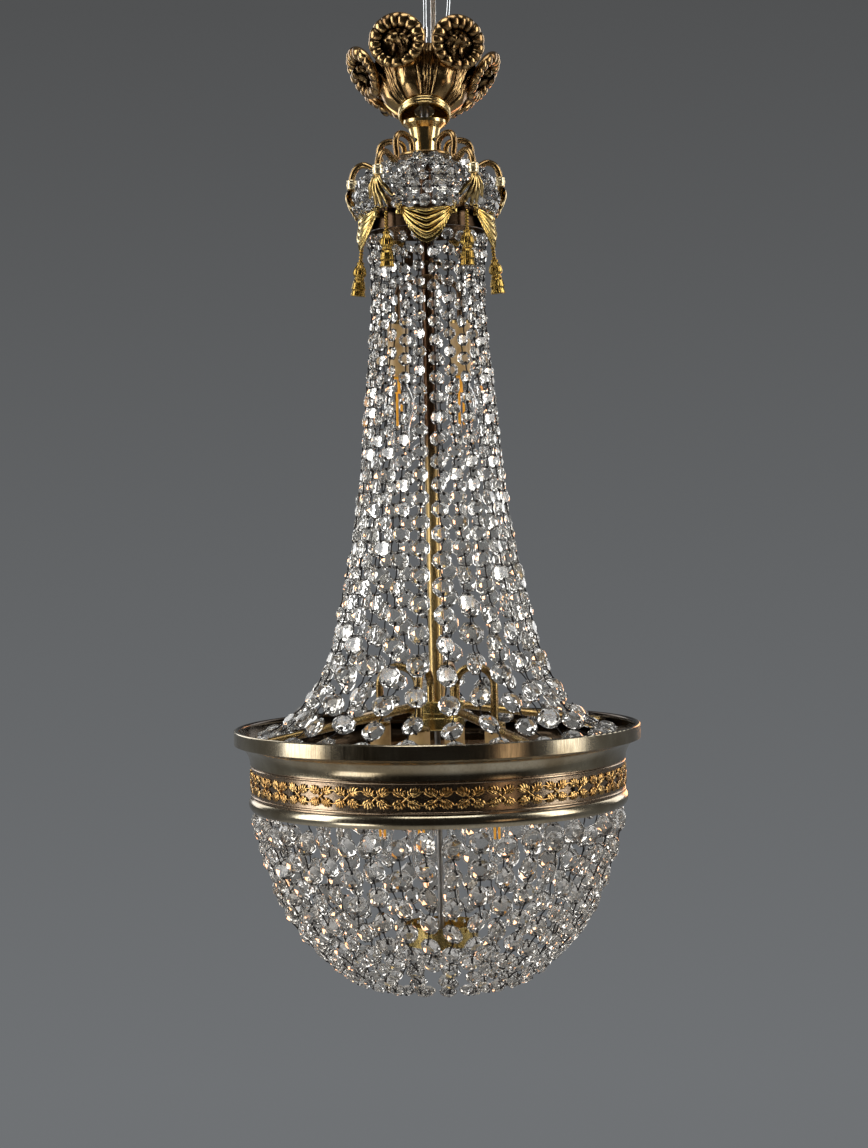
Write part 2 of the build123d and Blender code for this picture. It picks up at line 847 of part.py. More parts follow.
with BuildPart() as bottom_collar:
    with BuildSketch(Plane.XY.offset(collar_z)):
        Circle(collar_r)
        Circle(collar_r - collar_wall, mode=Mode.SUBTRACT)
    extrude(amount=-collar_height)
    with BuildSketch(Plane.XY.offset(floor_z)):
        Circle(collar_r)
        Circle(bottom_rod_r + thread_gap, mode=Mode.SUBTRACT)
    extrude(amount=-collar_floor)
    with Locations(Location((0, 0, collar_z - 2 * collar_hole_r))):
        with PolarLocations(collar_r, collar_hole_count):
            Cylinder(collar_hole_r, collar_hole_reach * collar_wall, rotation=(0, 90, 0), mode=Mode.SUBTRACT)
save(bottom_collar.part, "bottom_collar")

with BuildPart() as bottom_nut:
    with BuildSketch(Plane.XY.offset(nut_z)):
        RegularPolygon(nut_r, nut_sides)
        Circle(bottom_rod_r + thread_gap, mode=Mode.SUBTRACT)
    extrude(amount=-nut_height)
save(bottom_nut.part, "bottom_nut")

# ---------------------------------------------------------------- strings of cut crystals
def half_height(size):
    """From a crystal's centre to the flat that its pin enters."""
    return size / 2 * math.cos(math.radians(crystal_turn))


def crystal(seat, size):
    """A cut octagon with a table and bevels on both faces; its holes lie on the seat's Z line."""
    half_depth = size * crystal_depth / 2
    front = Plane(origin=seat.origin, x_dir=seat.x_dir, z_dir=seat.y_dir)
    with BuildPart() as stone:
        with BuildSketch(front):
            RegularPolygon(size / 2, crystal_sides, rotation=crystal_turn)
        with BuildSketch(front.offset(half_depth)):
            RegularPolygon(size / 2 * crystal_table, crystal_sides, rotation=crystal_turn)
        loft(ruled=True)
        mirror(about=front)
    return stone.part


def wire_pin(start, end):
    """A straight wire between two points, let into the crystal at either end."""
    run = end - start
    side = Vector(0, 0, 1) if abs(run.normalized().Z) < steep_run else Vector(1, 0, 0)
    with BuildPart() as wire:
        with BuildSketch(Plane(origin=start, x_dir=side.cross(run), z_dir=run)):
            Rectangle(pin_side, pin_side)
        extrude(amount=run.length)
    return wire.part


def set_stone(centre, along, outwards, size, twist):
    """One crystal on its string, turned about the string."""
    facing = (outwards - along * outwards.dot(along)).normalized()
    level = Plane(origin=centre, x_dir=facing.cross(along), z_dir=along)
    return crystal(level.rotated((0, 0, twist)), size)


def between(value, points):
    """The straight-line value at a place in a list of (place, value) pairs."""
    for (low, at_low), (high, at_high) in zip(points, points[1:]):
        if value <= high:
            return at_low + (at_high - at_low) * max(0, value - low) / (high - low)
    return points[-1][1]


def string_steps(length, sizes, gaps):
    """Centre and size of each crystal down a string, closed up to fill its length."""
    steps = []
    reach = between(0, gaps)
    while reach < length:
        size = between(reach / length, sizes)
        steps.append((reach + size / 2, size))
        reach += size + between(reach / length, gaps)
    return [(centre * length / reach, size) for centre, size in steps]


def joined(pieces):
    """Crystals and pins held together as the string holds them."""
    with BuildPart() as whole:
        add(pieces)
    return whole.part


def hanging_string(route, steps, shift, last, foot, stones_joined):
    """One string in the front plane, in lengths of a few joined crystals.

    shift slides the middle of the string along it. The last wire of a length ends on the flat of
    the next crystal.
    """
    plane = radial_plane(0)
    length = route.length
    lengths = []
    pieces = []
    start = Vector((route @ 0).X, (route @ 0).Z - wire_gap)
    tail = plane.from_local_coords(start)
    for number, (centre, size) in enumerate(steps[:last]):
        slide = shift * size * string_pitch * math.sin(math.pi * centre / length) ** 0.5
        at = min(length - size / 2, centre + slide) / length
        spot = route @ at
        heading = route % at
        here = plane.from_local_coords(Vector(spot.X, spot.Z))
        along = plane.from_local_coords(Vector(heading.X, heading.Z)).normalized()
        twist = random.uniform(-crystal_twist, crystal_twist)
        stone = set_stone(here, along, plane.x_dir, size, twist)
        if number and number % stones_joined == 0:
            pieces.append(wire_pin(tail, here - along * half_height(size)))
            lengths.append(joined(pieces))
            pieces = []
        else:
            pieces.append(wire_pin(tail, here - along * (half_height(size) - pin_depth)))
        pieces.append(stone)
        tail = here + along * (half_height(size) - pin_depth)
    if foot is not None:
        pieces.append(wire_pin(tail, foot))
    return [*lengths, joined(pieces)]


# the tent: from the crown ring down and out to the ledge of the rim
tent_top_r = crown_ring_r - crown_ring_wall / 2
tent_foot_r = ledge_inner_r + tent_foot_inset
tent_foot = place(0, tent_foot_r, ledge_z + wire_gap)
tent_shape = [
    (tent_top_r, crown_ring_base_z),
    (54, -228),
    (62, -328),
    (71, -428),
    (79, -478),
    (91, -535),
    (108, -596),
    (140, -640),
    (tent_foot_r, ledge_z),
]
tent_sizes = [(0, 12.5), (0.33, 15), (0.62, 21.5), (0.8, 24), (1, 24)]
tent_gaps = [(0, 3.5), (0.33, 6), (0.62, 6.5), (0.8, 9.5), (1, 10)]
with BuildLine(Plane.XZ):
    tent_route = Spline(*tent_shape)
tent_steps = string_steps(tent_route.length, tent_sizes, tent_gaps)
shifts = [-string_shift, string_shift, -string_shift, string_shift]
patterns = [
    hanging_string(tent_route, tent_steps, shift, None, tent_foot, tent_stones_joined)
    for shift in shifts
]
tent = []
for number in range(tent_strings):
    turn = Location((0, 0, 0), (0, 0, tent_start + 360 / tent_strings * number))
    tent += [piece.moved(turn) for piece in patterns[number % len(patterns)]]
print("tent pieces", len(tent), "crystals in each string", len(tent_steps))
save_group(tent, "tent_strings")

# the basket: from the lower moulding down, under and up to the bottom collar
basket_top_r = frieze_bore_r + basket_top_inset
basket_end_r = collar_r + basket_end_gap
basket_end_z = collar_base_z - basket_end_drop
basket_foot = place(0, collar_r + wire_gap, collar_base_z + collar_height * basket_foot_share)
basket_shape = [
    (basket_top_r, ring_base_z),
    (175, -765),
    (161, -808),
    (141, -848),
    (106, -887),
    (78, -904),
    (56, -900),
    (basket_end_r, basket_end_z),
]
basket_sizes = [(0, 23), (0.3, 22.5), (0.5, 20), (0.65, 17), (1, 16)]
basket_gaps = [(0, 7), (0.3, 7), (0.5, 6), (0.65, 4), (1, 4)]
with BuildLine(Plane.XZ):
    basket_route = Spline(*basket_shape)
basket_steps = string_steps(basket_route.length, basket_sizes, basket_gaps)


# round the basket, whole strings reach the collar and the ones between stop where it narrows
endings = [
    (string_shift, None, basket_foot),
    (-string_shift, basket_short_stones, None),
    (string_shift, basket_long_stones, None),
    (-string_shift, basket_short_stones, None),
]
patterns = [
    hanging_string(basket_route, basket_steps, shift, last, foot, basket_stones_joined)
    for shift, last, foot in endings
]
basket = []
for number in range(basket_strings):
    turn = Location((0, 0, 0), (0, 0, basket_start + 360 / basket_strings * number))
    basket += [piece.moved(turn) for piece in patterns[number % len(patterns)]]
print("basket pieces", len(basket), "crystals in a whole string", len(basket_steps))
save_group(basket, "basket_strings")

# the crown: garlands of small crystals from arm to arm
with BuildLine(Plane.XZ) as arm_line:
    FilletPolyline(*arm_bends, radius=arm_bend_radii)
arm_points = [arm_line.line @ (step / arm_steps) for step in range(arm_steps + 1)]
arm_points = [point for point in arm_points if point.X > garland_arm_r]
garland_rows = [(34, -91), (46, -96), (57, -103), (66, -113), (70.5, -125), (69, -137.5)]


def garland(row_r, row_z):
    """One row of crystals in front, strung level between two arms."""
    row_end = Vector(row_r, 0, row_z)
    nearest = min(arm_points, key=lambda point: (point - row_end).length)
    target = nearest + (row_end - nearest).normalized() * (arm_r + 2 * wire_gap)
    pitch = crown_stone + crown_stone_gap
    count = math.floor((row_r * math.radians(360 / crown_sides) - garland_side_gap * arm_r) / pitch)
    pitch_angle = math.degrees(pitch / row_r)
    lift = max(
            garland_least_lift, garland_lift + (row_z - garland_rows[2][1]) / garland_fall
        )
    pieces = []
    tail = place(-180 / crown_sides, target.X, target.Z)
    for order in range(count):
        azimuth = pitch_angle * (order - (count - 1) / 2)
        here = place(azimuth, row_r, row_z)
        along = place(azimuth + 90, 1, 0)
        twist = random.uniform(-crystal_twist, crystal_twist) / 2
        pieces.append(set_stone(here, along, place(azimuth, 1, lift), crown_stone, twist))
        reach = along * (half_height(crown_stone) - pin_depth)
        pieces.append(wire_pin(tail, here - reach))
        tail = here + reach
    pieces.append(wire_pin(tail, place(180 / crown_sides, target.X, target.Z)))
    return joined(pieces)


rows = [garland(row_r, row_z) for row_r, row_z in garland_rows]
print("garland rows in pieces", [len(row.solids()) for row in rows])
turns = [Location((0, 0, 0), (0, 0, 360 / crown_sides * side)) for side in range(crown_sides)]
save_group([row.moved(turn) for turn in turns for row in rows], "crown_garlands")

# ---------------------------------------------------------------- ceiling canopy, loose on the neck
canopy_z = flange_z + seat_gap
canopy_outer_r = canopy_collar_r + canopy_collar_wall
canopy_pivot = Axis((0, flange_r, canopy_z), (1, 0, 0))
with BuildPart() as canopy_collar:
    with BuildSketch(Plane.XY.offset(canopy_z + canopy_floor)):
        Circle(canopy_outer_r)
    extrude(amount=-canopy_floor - canopy_collar_depth)
    with BuildSketch(Plane.XY.offset(canopy_z - canopy_collar_depth)):
        Circle(canopy_collar_r)
    extrude(amount=canopy_collar_depth, mode=Mode.SUBTRACT)
    with BuildSketch(Plane.XY.offset(canopy_z)):
        Circle(canopy_hole_r)
    extrude(amount=canopy_floor, mode=Mode.SUBTRACT)
save(canopy_collar.part.rotate(canopy_pivot, -canopy_tilt), "canopy_collar")

# the cup is modelled in half staves, each lobe by itself, so that the cup stays hollow in collision
cup_z = canopy_z + canopy_floor
stave_angle = 360 / canopy_staves
cup_waist_z = cup_z + canopy_cup_height * canopy_swell_share
with BuildPart() as stave:
    with BuildSketch(Plane.XZ):
        with BuildLine():
            foot = Vector(canopy_outer_r, cup_z)
            swell_r = (canopy_outer_r + canopy_cup_r) / 2 + canopy_swell
            swell = Vector(swell_r, cup_waist_z)
            shoulder = Vector(canopy_cup_r, cup_z + canopy_cup_height * canopy_shoulder_share)
            brim = Vector(canopy_brim_r, cup_z + canopy_cup_height)
            inset = Vector(-canopy_wall, 0)
            lift = Vector(0, canopy_wall)
            outer = Spline(foot, swell, shoulder, brim)
            inner = Spline(foot + inset, swell + inset, shoulder + inset + lift / 2, brim + lift)
            Line(foot, foot + inset)
            Line(brim, brim + lift)
        make_face()
    revolve(axis=Axis.Z, revolution_arc=stave_angle)
    split(bisect_by=Plane.XY.offset(cup_waist_z), keep=Keep.BOTH)
first_stave = lobe_azimuth - 90
staves = [
    half.rotate(Axis.Z, first_stave + stave_angle * number)
    for number in range(canopy_staves)
    for half in stave.part.solids()
]
with BuildPart() as cup:
    add(staves)

fall = math.radians(lobe_face_down)
centre = place(lobe_azimuth, lobe_centre_r, cup_z - canopy_floor + lobe_centre_height)
facing = place(lobe_azimuth, math.cos(fall), -math.sin(fall))
lobe_plane = Plane(origin=centre, z_dir=facing)
with BuildPart() as lobe:
    with BuildSketch(lobe_plane.offset(-lobe_roll_r)):
        Circle(lobe_ring_r)
    extrude(amount=canopy_wall)
    with Locations(lobe_plane.location):
        Torus(lobe_ring_r, lobe_roll_r)
    add(cup.part, mode=Mode.SUBTRACT)
outside = lobe.part.solids().sort_by(SortBy.VOLUME)[-1]
lobes = [outside.rotate(Axis.Z, 360 / lobe_count * number) for number in range(lobe_count)]
save_group([piece.rotate(canopy_pivot, -canopy_tilt) for piece in staves + lobes], "canopy_casting")

# ---------------------------------------------------------------- ceiling plate, lines and flex
plate_z = ceiling_plate_rise
with BuildPart() as ceiling_plate:
    with BuildSketch(Plane.XY.offset(plate_z)):
        Circle(ceiling_plate_r)
    extrude(amount=ceiling_plate_thickness)
    fillet(ceiling_plate.edges().filter_by(GeomType.CIRCLE).sort_by(Axis.Z)[-1], ceiling_plate_fillet)
save(ceiling_plate.part, "ceiling_plate")

noose_z = -eye_r - eye_shank_length
noose_ring_r = rod_r + eye_shank_wall + line_r + seat_gap
with BuildPart() as line_noose:
    with Locations((0, 0, noose_z)):
        Torus(noose_ring_r, line_r)
save(line_noose.part, "line_noose")


def taut_line(points, tube_r, name):
    """A cord pulled straight between the points of its route."""
    with BuildLine() as route:
        if len(points) == 2:
            Line(*points)
        else:
            runs = [(Vector(b) - Vector(a)) for a, b in zip(points, points[1:])]
            turns = [before.get_angle(after) for before, after in zip(runs, runs[1:])]
            radii = []
            for before, after, turn in zip(runs, runs[1:], turns):
                shorter = min(before.length, after.length)
                radii.append(bend_share * shorter / math.tan(math.radians(turn / 2)))
            FilletPolyline(*points, radius=radii)
            print(name, "bend radii", [round(radius, 1) for radius in radii])
    tube = tube_along(route.wire(), tube_r)
    section = math.pi * tube_r**2
    by_volume = tube.volume / section
    print(name, "length", round(route.wire().length, 1), "by volume", round(by_volume, 1))
    return tube


line_foot_z = noose_z + line_r
left_line = [(2, noose_ring_r, line_foot_z), (3, noose_ring_r, plate_z)]
save(taut_line(left_line, line_r, "left line"), "suspension_line_left")
right_line = [
    (8, noose_ring_r - 3, line_foot_z - 1),
    (14, 10, 12),
    (19, 9, 36),
    (25, 6, 52),
    (27, 4, 74),
    (27, 3, plate_z),
]
save(taut_line(right_line, line_r, "right line"), "suspension_line_right")

crimp_share = (crimp_z + crimp_length / 2 - line_foot_z) / (plate_z - line_foot_z)
crimp_x = left_line[0][0] + (left_line[1][0] - left_line[0][0]) * crimp_share
with BuildPart() as line_crimp:
    with BuildSketch(Plane(origin=(crimp_x, noose_ring_r, crimp_z))):
        Circle(crimp_r)
        Circle(line_r + crimp_gap, mode=Mode.SUBTRACT)
    extrude(amount=crimp_length)
save(line_crimp.part, "line_crimp")

terminal_top_z = canopy_z + canopy_floor + terminal_rise + terminal_height
with BuildPart() as terminal_block:
    with BuildSketch(Plane(origin=(0, rod_r + seat_gap + terminal_width / 2, terminal_top_z))):
        Rectangle(terminal_length, terminal_width)
    extrude(amount=-terminal_height)
save(terminal_block.part, "terminal_block")

flex_route = [
    (8, 12.8, terminal_top_z),
    (8.2, 13.6, terminal_top_z + 24),
    (10.5, 12, terminal_top_z + 56),
    (11, 8, terminal_top_z + 88),
    (11, 6.5, plate_z),
]
save(taut_line(flex_route, flex_r, "flex"), "flex_cord")
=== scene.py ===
import math
import random

import bmesh
import bpy
from mathutils import Matrix, Vector


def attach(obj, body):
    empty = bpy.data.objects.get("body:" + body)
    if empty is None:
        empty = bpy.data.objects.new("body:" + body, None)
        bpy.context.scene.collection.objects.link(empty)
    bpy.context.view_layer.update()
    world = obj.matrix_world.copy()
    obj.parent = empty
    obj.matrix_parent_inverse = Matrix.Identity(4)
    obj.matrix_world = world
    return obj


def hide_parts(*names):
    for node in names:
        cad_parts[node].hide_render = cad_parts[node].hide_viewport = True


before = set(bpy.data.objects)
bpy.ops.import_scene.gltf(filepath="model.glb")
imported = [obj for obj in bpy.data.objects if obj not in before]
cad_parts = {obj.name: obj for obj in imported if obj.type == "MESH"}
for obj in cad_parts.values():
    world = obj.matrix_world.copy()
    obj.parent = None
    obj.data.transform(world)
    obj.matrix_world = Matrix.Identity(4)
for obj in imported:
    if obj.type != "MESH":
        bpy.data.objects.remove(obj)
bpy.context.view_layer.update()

# The photographer's place: a camera two metres off, a little above the basket and level with the
# middle of the tent, tipped down and leaning by about a degree as in the photograph.
MM = 0.001
STANDING_BACK = 2.1
EYE_LEVEL = -0.458
TIPPED_DOWN = 1.15
LEANING = -1.2
FRAME_HEIGHT = 1148
FOCAL_PIXELS = 2100


def add_object(name, data):
    """A new object of the scene."""
    thing = bpy.data.objects.new(name, data)
    bpy.context.collection.objects.link(thing)
    return thing


camera = add_object("camera", bpy.data.cameras.new("camera"))
camera.data.sensor_width = 36
camera.data.lens = 36 * FOCAL_PIXELS / FRAME_HEIGHT
camera.data.clip_start, camera.data.clip_end = 0.05, 60
camera.matrix_world = (
    Matrix.Translation((0, -STANDING_BACK, EYE_LEVEL))
    @ Matrix.Rotation(math.radians(90 - TIPPED_DOWN), 4, "X")
    @ Matrix.Rotation(math.radians(LEANING), 4, "Z")
)
bpy.context.scene.camera = camera

# The clear suspension line: thick extruded nylon through the eye of the lamp, pulled straight
# between its noose and the ceiling plate just above the view. A second run stands off to the
# right.
LINE_R = 1.6 * MM
LEFT_LINE = [(2, 9.7, -19.4), (3, 9.7, 97)]
RIGHT_LINE = [(8, 6.7, -20.4), (14, 10, 12), (19, 9, 36), (25, 6, 52), (27, 4, 74), (27, 3, 97)]
LEFT_LENGTH, RIGHT_LENGTH = 0.1164, 0.120


def add_node(tree, kind, inputs=(), **settings):
    """One shader node; an input is a number, a vector, a colour's three shares or a socket."""
    made = tree.nodes.new("ShaderNode" + kind)
    for name, value in settings.items():
        setattr(made, name, value)
    for name, value in dict(inputs).items():
        socket = made.inputs[name]
        if isinstance(value, bpy.types.NodeSocket):
            tree.links.new(value, socket)
        else:
            socket.default_value = (*value, 1) if socket.type == "RGBA" else value
    return made


def new_finish(name, **sockets):
    """A material with plain numbers on its shader; returns it, its tree and the shader."""
    material = bpy.data.materials.new(name)
    material.use_nodes = True
    tree = material.node_tree
    skin = tree.nodes["Principled BSDF"]
    for socket, value in sockets.items():
        skin.inputs[socket.replace("_", " ")].default_value = value
    return material, tree, skin


def blotches(tree, size, detail=4, place=None):
    """Soft random patches of about this size in metres, from 0 to 1."""
    if place is None:
        place = add_node(tree, "TexCoord").outputs["Object"]
    inputs = {"Vector": place, "Scale": 1 / size, "Detail": detail}
    return add_node(tree, "TexNoise", inputs).outputs[0]


def spread(tree, value, low, high, to_low=0, to_high=1):
    """The part of a value between low and high, stretched to a new range."""
    inputs = {"Value": value, 1: low, 2: high, 3: to_low, 4: to_high}
    return add_node(tree, "MapRange", inputs).outputs[0]


def blend_colours(tree, share, first, second):
    """One colour turning into another as share goes from 0 to 1."""
    inputs = {0: share, 6: first, 7: second}
    return add_node(tree, "Mix", inputs, data_type="RGBA").outputs[2]


def grain_bump(tree, skin, height, depth, strength=1.0):
    """Raises the skin by a height pattern, depth in metres."""
    inputs = {"Height": height, "Distance": depth, "Strength": strength}
    bump = add_node(tree, "Bump", inputs)
    tree.links.new(bump.outputs["Normal"], skin.inputs["Normal"])


def coat(tree, skin, colour, roughness=None):
    """Links the skin's colour, and its roughness where that differs from place to place."""
    tree.links.new(colour, skin.inputs["Base Color"])
    if roughness is not None:
        tree.links.new(roughness, skin.inputs["Roughness"])


def clear_plastic(name, colour, roughness):
    """Clear extruded plastic with faint waves and a little dust."""
    material, tree, skin = new_finish(name, Transmission_Weight=1, IOR=1.45)
    dust = blotches(tree, 0.004)
    dusty = blend_colours(tree, spread(tree, dust, 0.45, 0.75), colour, (0.72, 0.75, 0.76))
    coat(tree, skin, dusty, spread(tree, dust, 0.3, 0.8, roughness, 0.2))
    grain_bump(tree, skin, blotches(tree, 0.012, 1), 0.0002, 0.4)
    return material


def cord_curve(name, route, radius, material):
    """A cord as one smooth spline through the space between its route's points."""
    curve = bpy.data.curves.new(name, "CURVE")
    curve.dimensions = "3D"
    curve.bevel_depth = radius
    curve.bevel_resolution = 6
    curve.use_fill_caps = True
    spline = curve.splines.new("NURBS")
    spline.points.add(len(route) - 1)
    for point, place in zip(spline.points, route):
        point.co = (*[MM * value for value in place], 1)
    spline.order_u = min(3, len(route))
    spline.use_endpoint_u = True
    spline.resolution_u = 24
    curve.materials.append(material)
    return add_object(name, curve)


def ride_chandelier(piece, slot, *nodes):
    """The piece hangs with the lamp itself and stands for these CAD nodes."""
    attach(piece, "chandelier")
    if nodes:
        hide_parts(*nodes)


nylon = clear_plastic("clear_nylon", (0.93, 0.95, 0.96), 0.04)
for side, route, length in (
    ("left", LEFT_LINE, LEFT_LENGTH),
    ("right", RIGHT_LINE, RIGHT_LENGTH),
):
    line = cord_curve("clear_line_" + side, route, LINE_R, nylon)
    ride_chandelier(line, "clear_line", "suspension_line_" + side)

# The supply flex: two stranded wires in a clear sheath, from the terminal block in the canopy
# straight up to the ceiling plate.
FLEX_R = 2.8 * MM
FLEX_WIRE_R = 0.7 * MM
FLEX_WIRE_APART = 1.0
FLEX_ROUTE = [
    (8, 12.8, -25.7), (8.2, 13.6, -1.7), (10.5, 12, 30.3), (11, 8, 62.3), (11, 6.5, 97),
]

sheath = clear_plastic("clear_sheath", (0.9, 0.92, 0.92), 0.06)
stranded, tree, skin = new_finish("stranded_wire", Metallic=1, Roughness=0.35)
strands = add_node(tree, "TexWave", {"Scale": 900, "Distortion": 0.6}, bands_direction="DIAGONAL")
wire_colour = blend_colours(tree, strands.outputs[0], (0.42, 0.3, 0.2), (0.8, 0.62, 0.45))
coat(tree, skin, wire_colour)
grain_bump(tree, skin, strands.outputs[0], 0.0002)

for side, shift in (("left", -FLEX_WIRE_APART), ("right", FLEX_WIRE_APART)):
    run = [(x + shift, y, z) for x, y, z in FLEX_ROUTE]
    wire = cord_curve("flex_wire_" + side, run, FLEX_WIRE_R, stranded)
    ride_chandelier(wire, "clear_line")
flex = cord_curve("clear_flex", FLEX_ROUTE, FLEX_R, sheath)
ride_chandelier(flex, "clear_line", "flex_cord")

# The room: a plain grey wall all round that gets darker towards the ceiling, dark behind the
# camera where only the metal and the glass see it, a pale floor far below, and large soft lamps
# to the left, the right, above and behind.
WALL_TOP = (0.082, 0.084, 0.086)
WALL_LOW = (0.160, 0.168, 0.176)
WALL_LOW_RISE, WALL_TOP_RISE = -0.25, 0.24
ROOM_LEVEL = 0.42
DARK_SIDE = (0.012, 0.011, 0.01)
DARK_FROM, DARK_TO = -0.22, -0.55
FLOOR_Z = -2.35
FLOOR_R = 3.4
FADE_FROM, FADE_TO = 1.53, 3.332
SOFT_LAMPS = [
    # name, place, width, height, power, colour
    ("left_window", (-2.5, -0.55, 0.1), 1.3, 2.6, 44, (1, 1, 1)),
    ("right_window", (2.5, -0.65, 0.2), 1.0, 2.4, 34, (1, 0.98, 0.95)),
    ("ceiling_panel", (0, -0.7, 1.7), 1.6, 1.4, 22, (1, 1, 1)),
    ("back_left", (-1.5, 2.0, 0.3), 1.0, 1.8, 14, (1, 1, 1)),
    ("back_right", (1.7, 1.9, 0.3), 1.0, 1.8, 14, (1, 1, 1)),
    ("low_left", (-1.7, -1.3, -1.9), 1.0, 0.8, 8, (1, 1, 1)),
    ("warm_panel", (1.5, -1.9, -0.9), 0.5, 0.7, 0.9, (1, 0.7, 0.45)),
    ("warm_back", (0.9, 2.2, -0.6), 0.5, 0.5, 4, (1, 0.5, 0.25)),
]
LAMPS_AIM = Vector((0, 0, -0.5))

bpy.context.scene.view_settings.view_transform = "Standard"
world = bpy.data.worlds.new("room")
bpy.context.scene.world = world
world.use_nodes = True
tree = world.node_tree
seen = add_node(tree, "LightPath").outputs
shown = seen["Is Camera Ray"]
for ray in ("Is Glossy Ray", "Is Transmission Ray"):
    shown = add_node(tree, "Math", {0: shown, 1: seen[ray]}, operation="MAXIMUM").outputs[0]
toward = add_node(tree, "SeparateXYZ", {0: add_node(tree, "TexCoord").outputs["Generated"]})
rise = spread(tree, toward.outputs["Z"], WALL_LOW_RISE, WALL_TOP_RISE)
wall = blend_colours(tree, rise, WALL_LOW, WALL_TOP)
nearby = spread(tree, toward.outputs["Y"], DARK_FROM, DARK_TO)
nearby = {0: nearby, 1: seen["Is Camera Ray"]}
nearby = add_node(tree, "Math", nearby, operation="SUBTRACT", use_clamp=True).outputs[0]
wall = blend_colours(tree, nearby, wall, DARK_SIDE)
light = blend_colours(tree, shown, (ROOM_LEVEL,) * 3, wall)
tree.links.new(light, tree.nodes["Background"].inputs["Color"])

for name, place, width, height, power, colour in SOFT_LAMPS:
    soft = bpy.data.lights.new(name, "AREA")
    soft.shape = "RECTANGLE"
    soft.size, soft.size_y = width, height
    soft.energy = power
    soft.color = colour
    stand = add_object(name, soft)
    stand.location = place
    stand.rotation_euler = (LAMPS_AIM - Vector(place)).to_track_quat("-Z", "Y").to_euler()
    stand.visible_camera = False

bm = bmesh.new()
bmesh.ops.create_circle(bm, cap_ends=True, segments=96, radius=FLOOR_R)
mesh = bpy.data.meshes.new("floor")
bm.to_mesh(mesh)
bm.free()
floor = add_object("floor", mesh)
floor.location = (0, 0, FLOOR_Z)
pale, tree, skin = new_finish("pale_floor", Roughness=0.8)
coat(tree, skin, blend_colours(tree, blotches(tree, 0.3), (0.36, 0.365, 0.37), (0.4, 0.405, 0.41)))
place = add_node(tree, "TexCoord").outputs["Object"]
away = add_node(tree, "VectorMath", {0: place}, operation="LENGTH").outputs["Value"]
below = add_node(tree, "NewGeometry").outputs["Backfacing"]
fade = {0: spread(tree, away, FADE_FROM, FADE_TO), 1: below}
fade = add_node(tree, "Math", fade, operation="MAXIMUM").outputs[0]
clear = add_node(tree, "BsdfTransparent").outputs[0]
faded = add_node(tree, "MixShader", {0: fade, 1: skin.outputs[0], 2: clear})
tree.links.new(faded.outputs[0], tree.nodes["Material Output"].inputs["Surface"])
mesh.materials.append(pale)

# Ceiling plate, noose and crimp: a painted steel cup screwed to the ceiling, a loop of the same
# line round the shank of the eye, and a pressed tin sleeve that closes the loop.
SCRATCH_DEPTH = 0.00012


def give_finish(material, *nodes):
    """The CAD node's own shape shows, in this material."""
    for name in nodes:
        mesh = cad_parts[name].data
        mesh.materials.clear()
        mesh.materials.append(material)


def aged_metal(name, bright, dull, tarnish_and_shade, rough, patch=0.02, lathe=False):
    """Old metal: polished places, dull patches, tarnish flecks, painted shade where the mesh asks
    for it, fine scratches or turning lines.
    """
    material, tree, skin = new_finish(name, Metallic=1)
    place = add_node(tree, "TexCoord").outputs["Object"]
    patches = blotches(tree, patch, 5, place)
    fine = blotches(tree, 0.0025, 4, place)
    if lathe:
        parts = add_node(tree, "SeparateXYZ", {0: place}).outputs
        level = add_node(tree, "CombineXYZ", {0: parts["X"], 1: parts["Y"]}).outputs[0]
        away = add_node(tree, "VectorMath", {0: level}, operation="LENGTH").outputs["Value"]
        ring = add_node(tree, "CombineXYZ", {0: away, 2: parts["Z"]}).outputs[0]
        slow = add_node(tree, "VectorMath", {0: level, 1: (0.03, 0.03, 0)}, operation="MULTIPLY")
        ring = add_node(tree, "VectorMath", {0: ring, 1: slow.outputs[0]}, operation="ADD")
        marks = blotches(tree, 0.0006, 3, ring.outputs[0])
    else:
        marks = blotches(tree, 0.0012, 5, place)
    # Painted shade: each vertex's shade value from the mesh turns the colour to the dark one in
    # creases and recesses; the fine flecks of that colour are tarnish.
    hollow = add_node(tree, "Attribute", attribute_name="hollow").outputs["Fac"]
    colour = blend_colours(tree, spread(tree, patches, 0.36, 0.64), bright, dull)
    colour = blend_colours(tree, spread(tree, fine, 0.58, 0.8, 0, 0.45), colour, tarnish_and_shade)
    colour = blend_colours(tree, hollow, colour, tarnish_and_shade)
    wear_and_painted_light = add_node(tree, "Math", {0: fine, 1: patches}, operation="ADD").outputs[0]
    coat(tree, skin, colour, spread(tree, wear_and_painted_light, 0.7, 1.3, rough - 0.07, rough + 0.09))
    grain_bump(tree, skin, marks, SCRATCH_DEPTH, 0.6)
    return material


def mottled(name, roughness, patch, first, second, low=0, high=1, grain=0.001, depth=0.00005):
    """Paint or moulded plastic: two colours in soft patches, with a fine grain."""
    material, tree, skin = new_finish(name, Roughness=roughness)
    patches = spread(tree, blotches(tree, patch), low, high)
    coat(tree, skin, blend_colours(tree, patches, first, second))
    grain_bump(tree, skin, blotches(tree, grain), depth)
    return material


painted = mottled(
    "painted_steel", 0.45, 0.008, (0.62, 0.61, 0.58), (0.45, 0.43, 0.4), 0.5, 0.8, 0.0015, 0.0001
)
give_finish(painted, "ceiling_plate")
give_finish(nylon, "line_noose")
tin = aged_metal("pressed_tin", (0.8, 0.8, 0.8), (0.6, 0.6, 0.6), (0.3, 0.3, 0.3), 0.25)
give_finish(tin, "line_crimp")
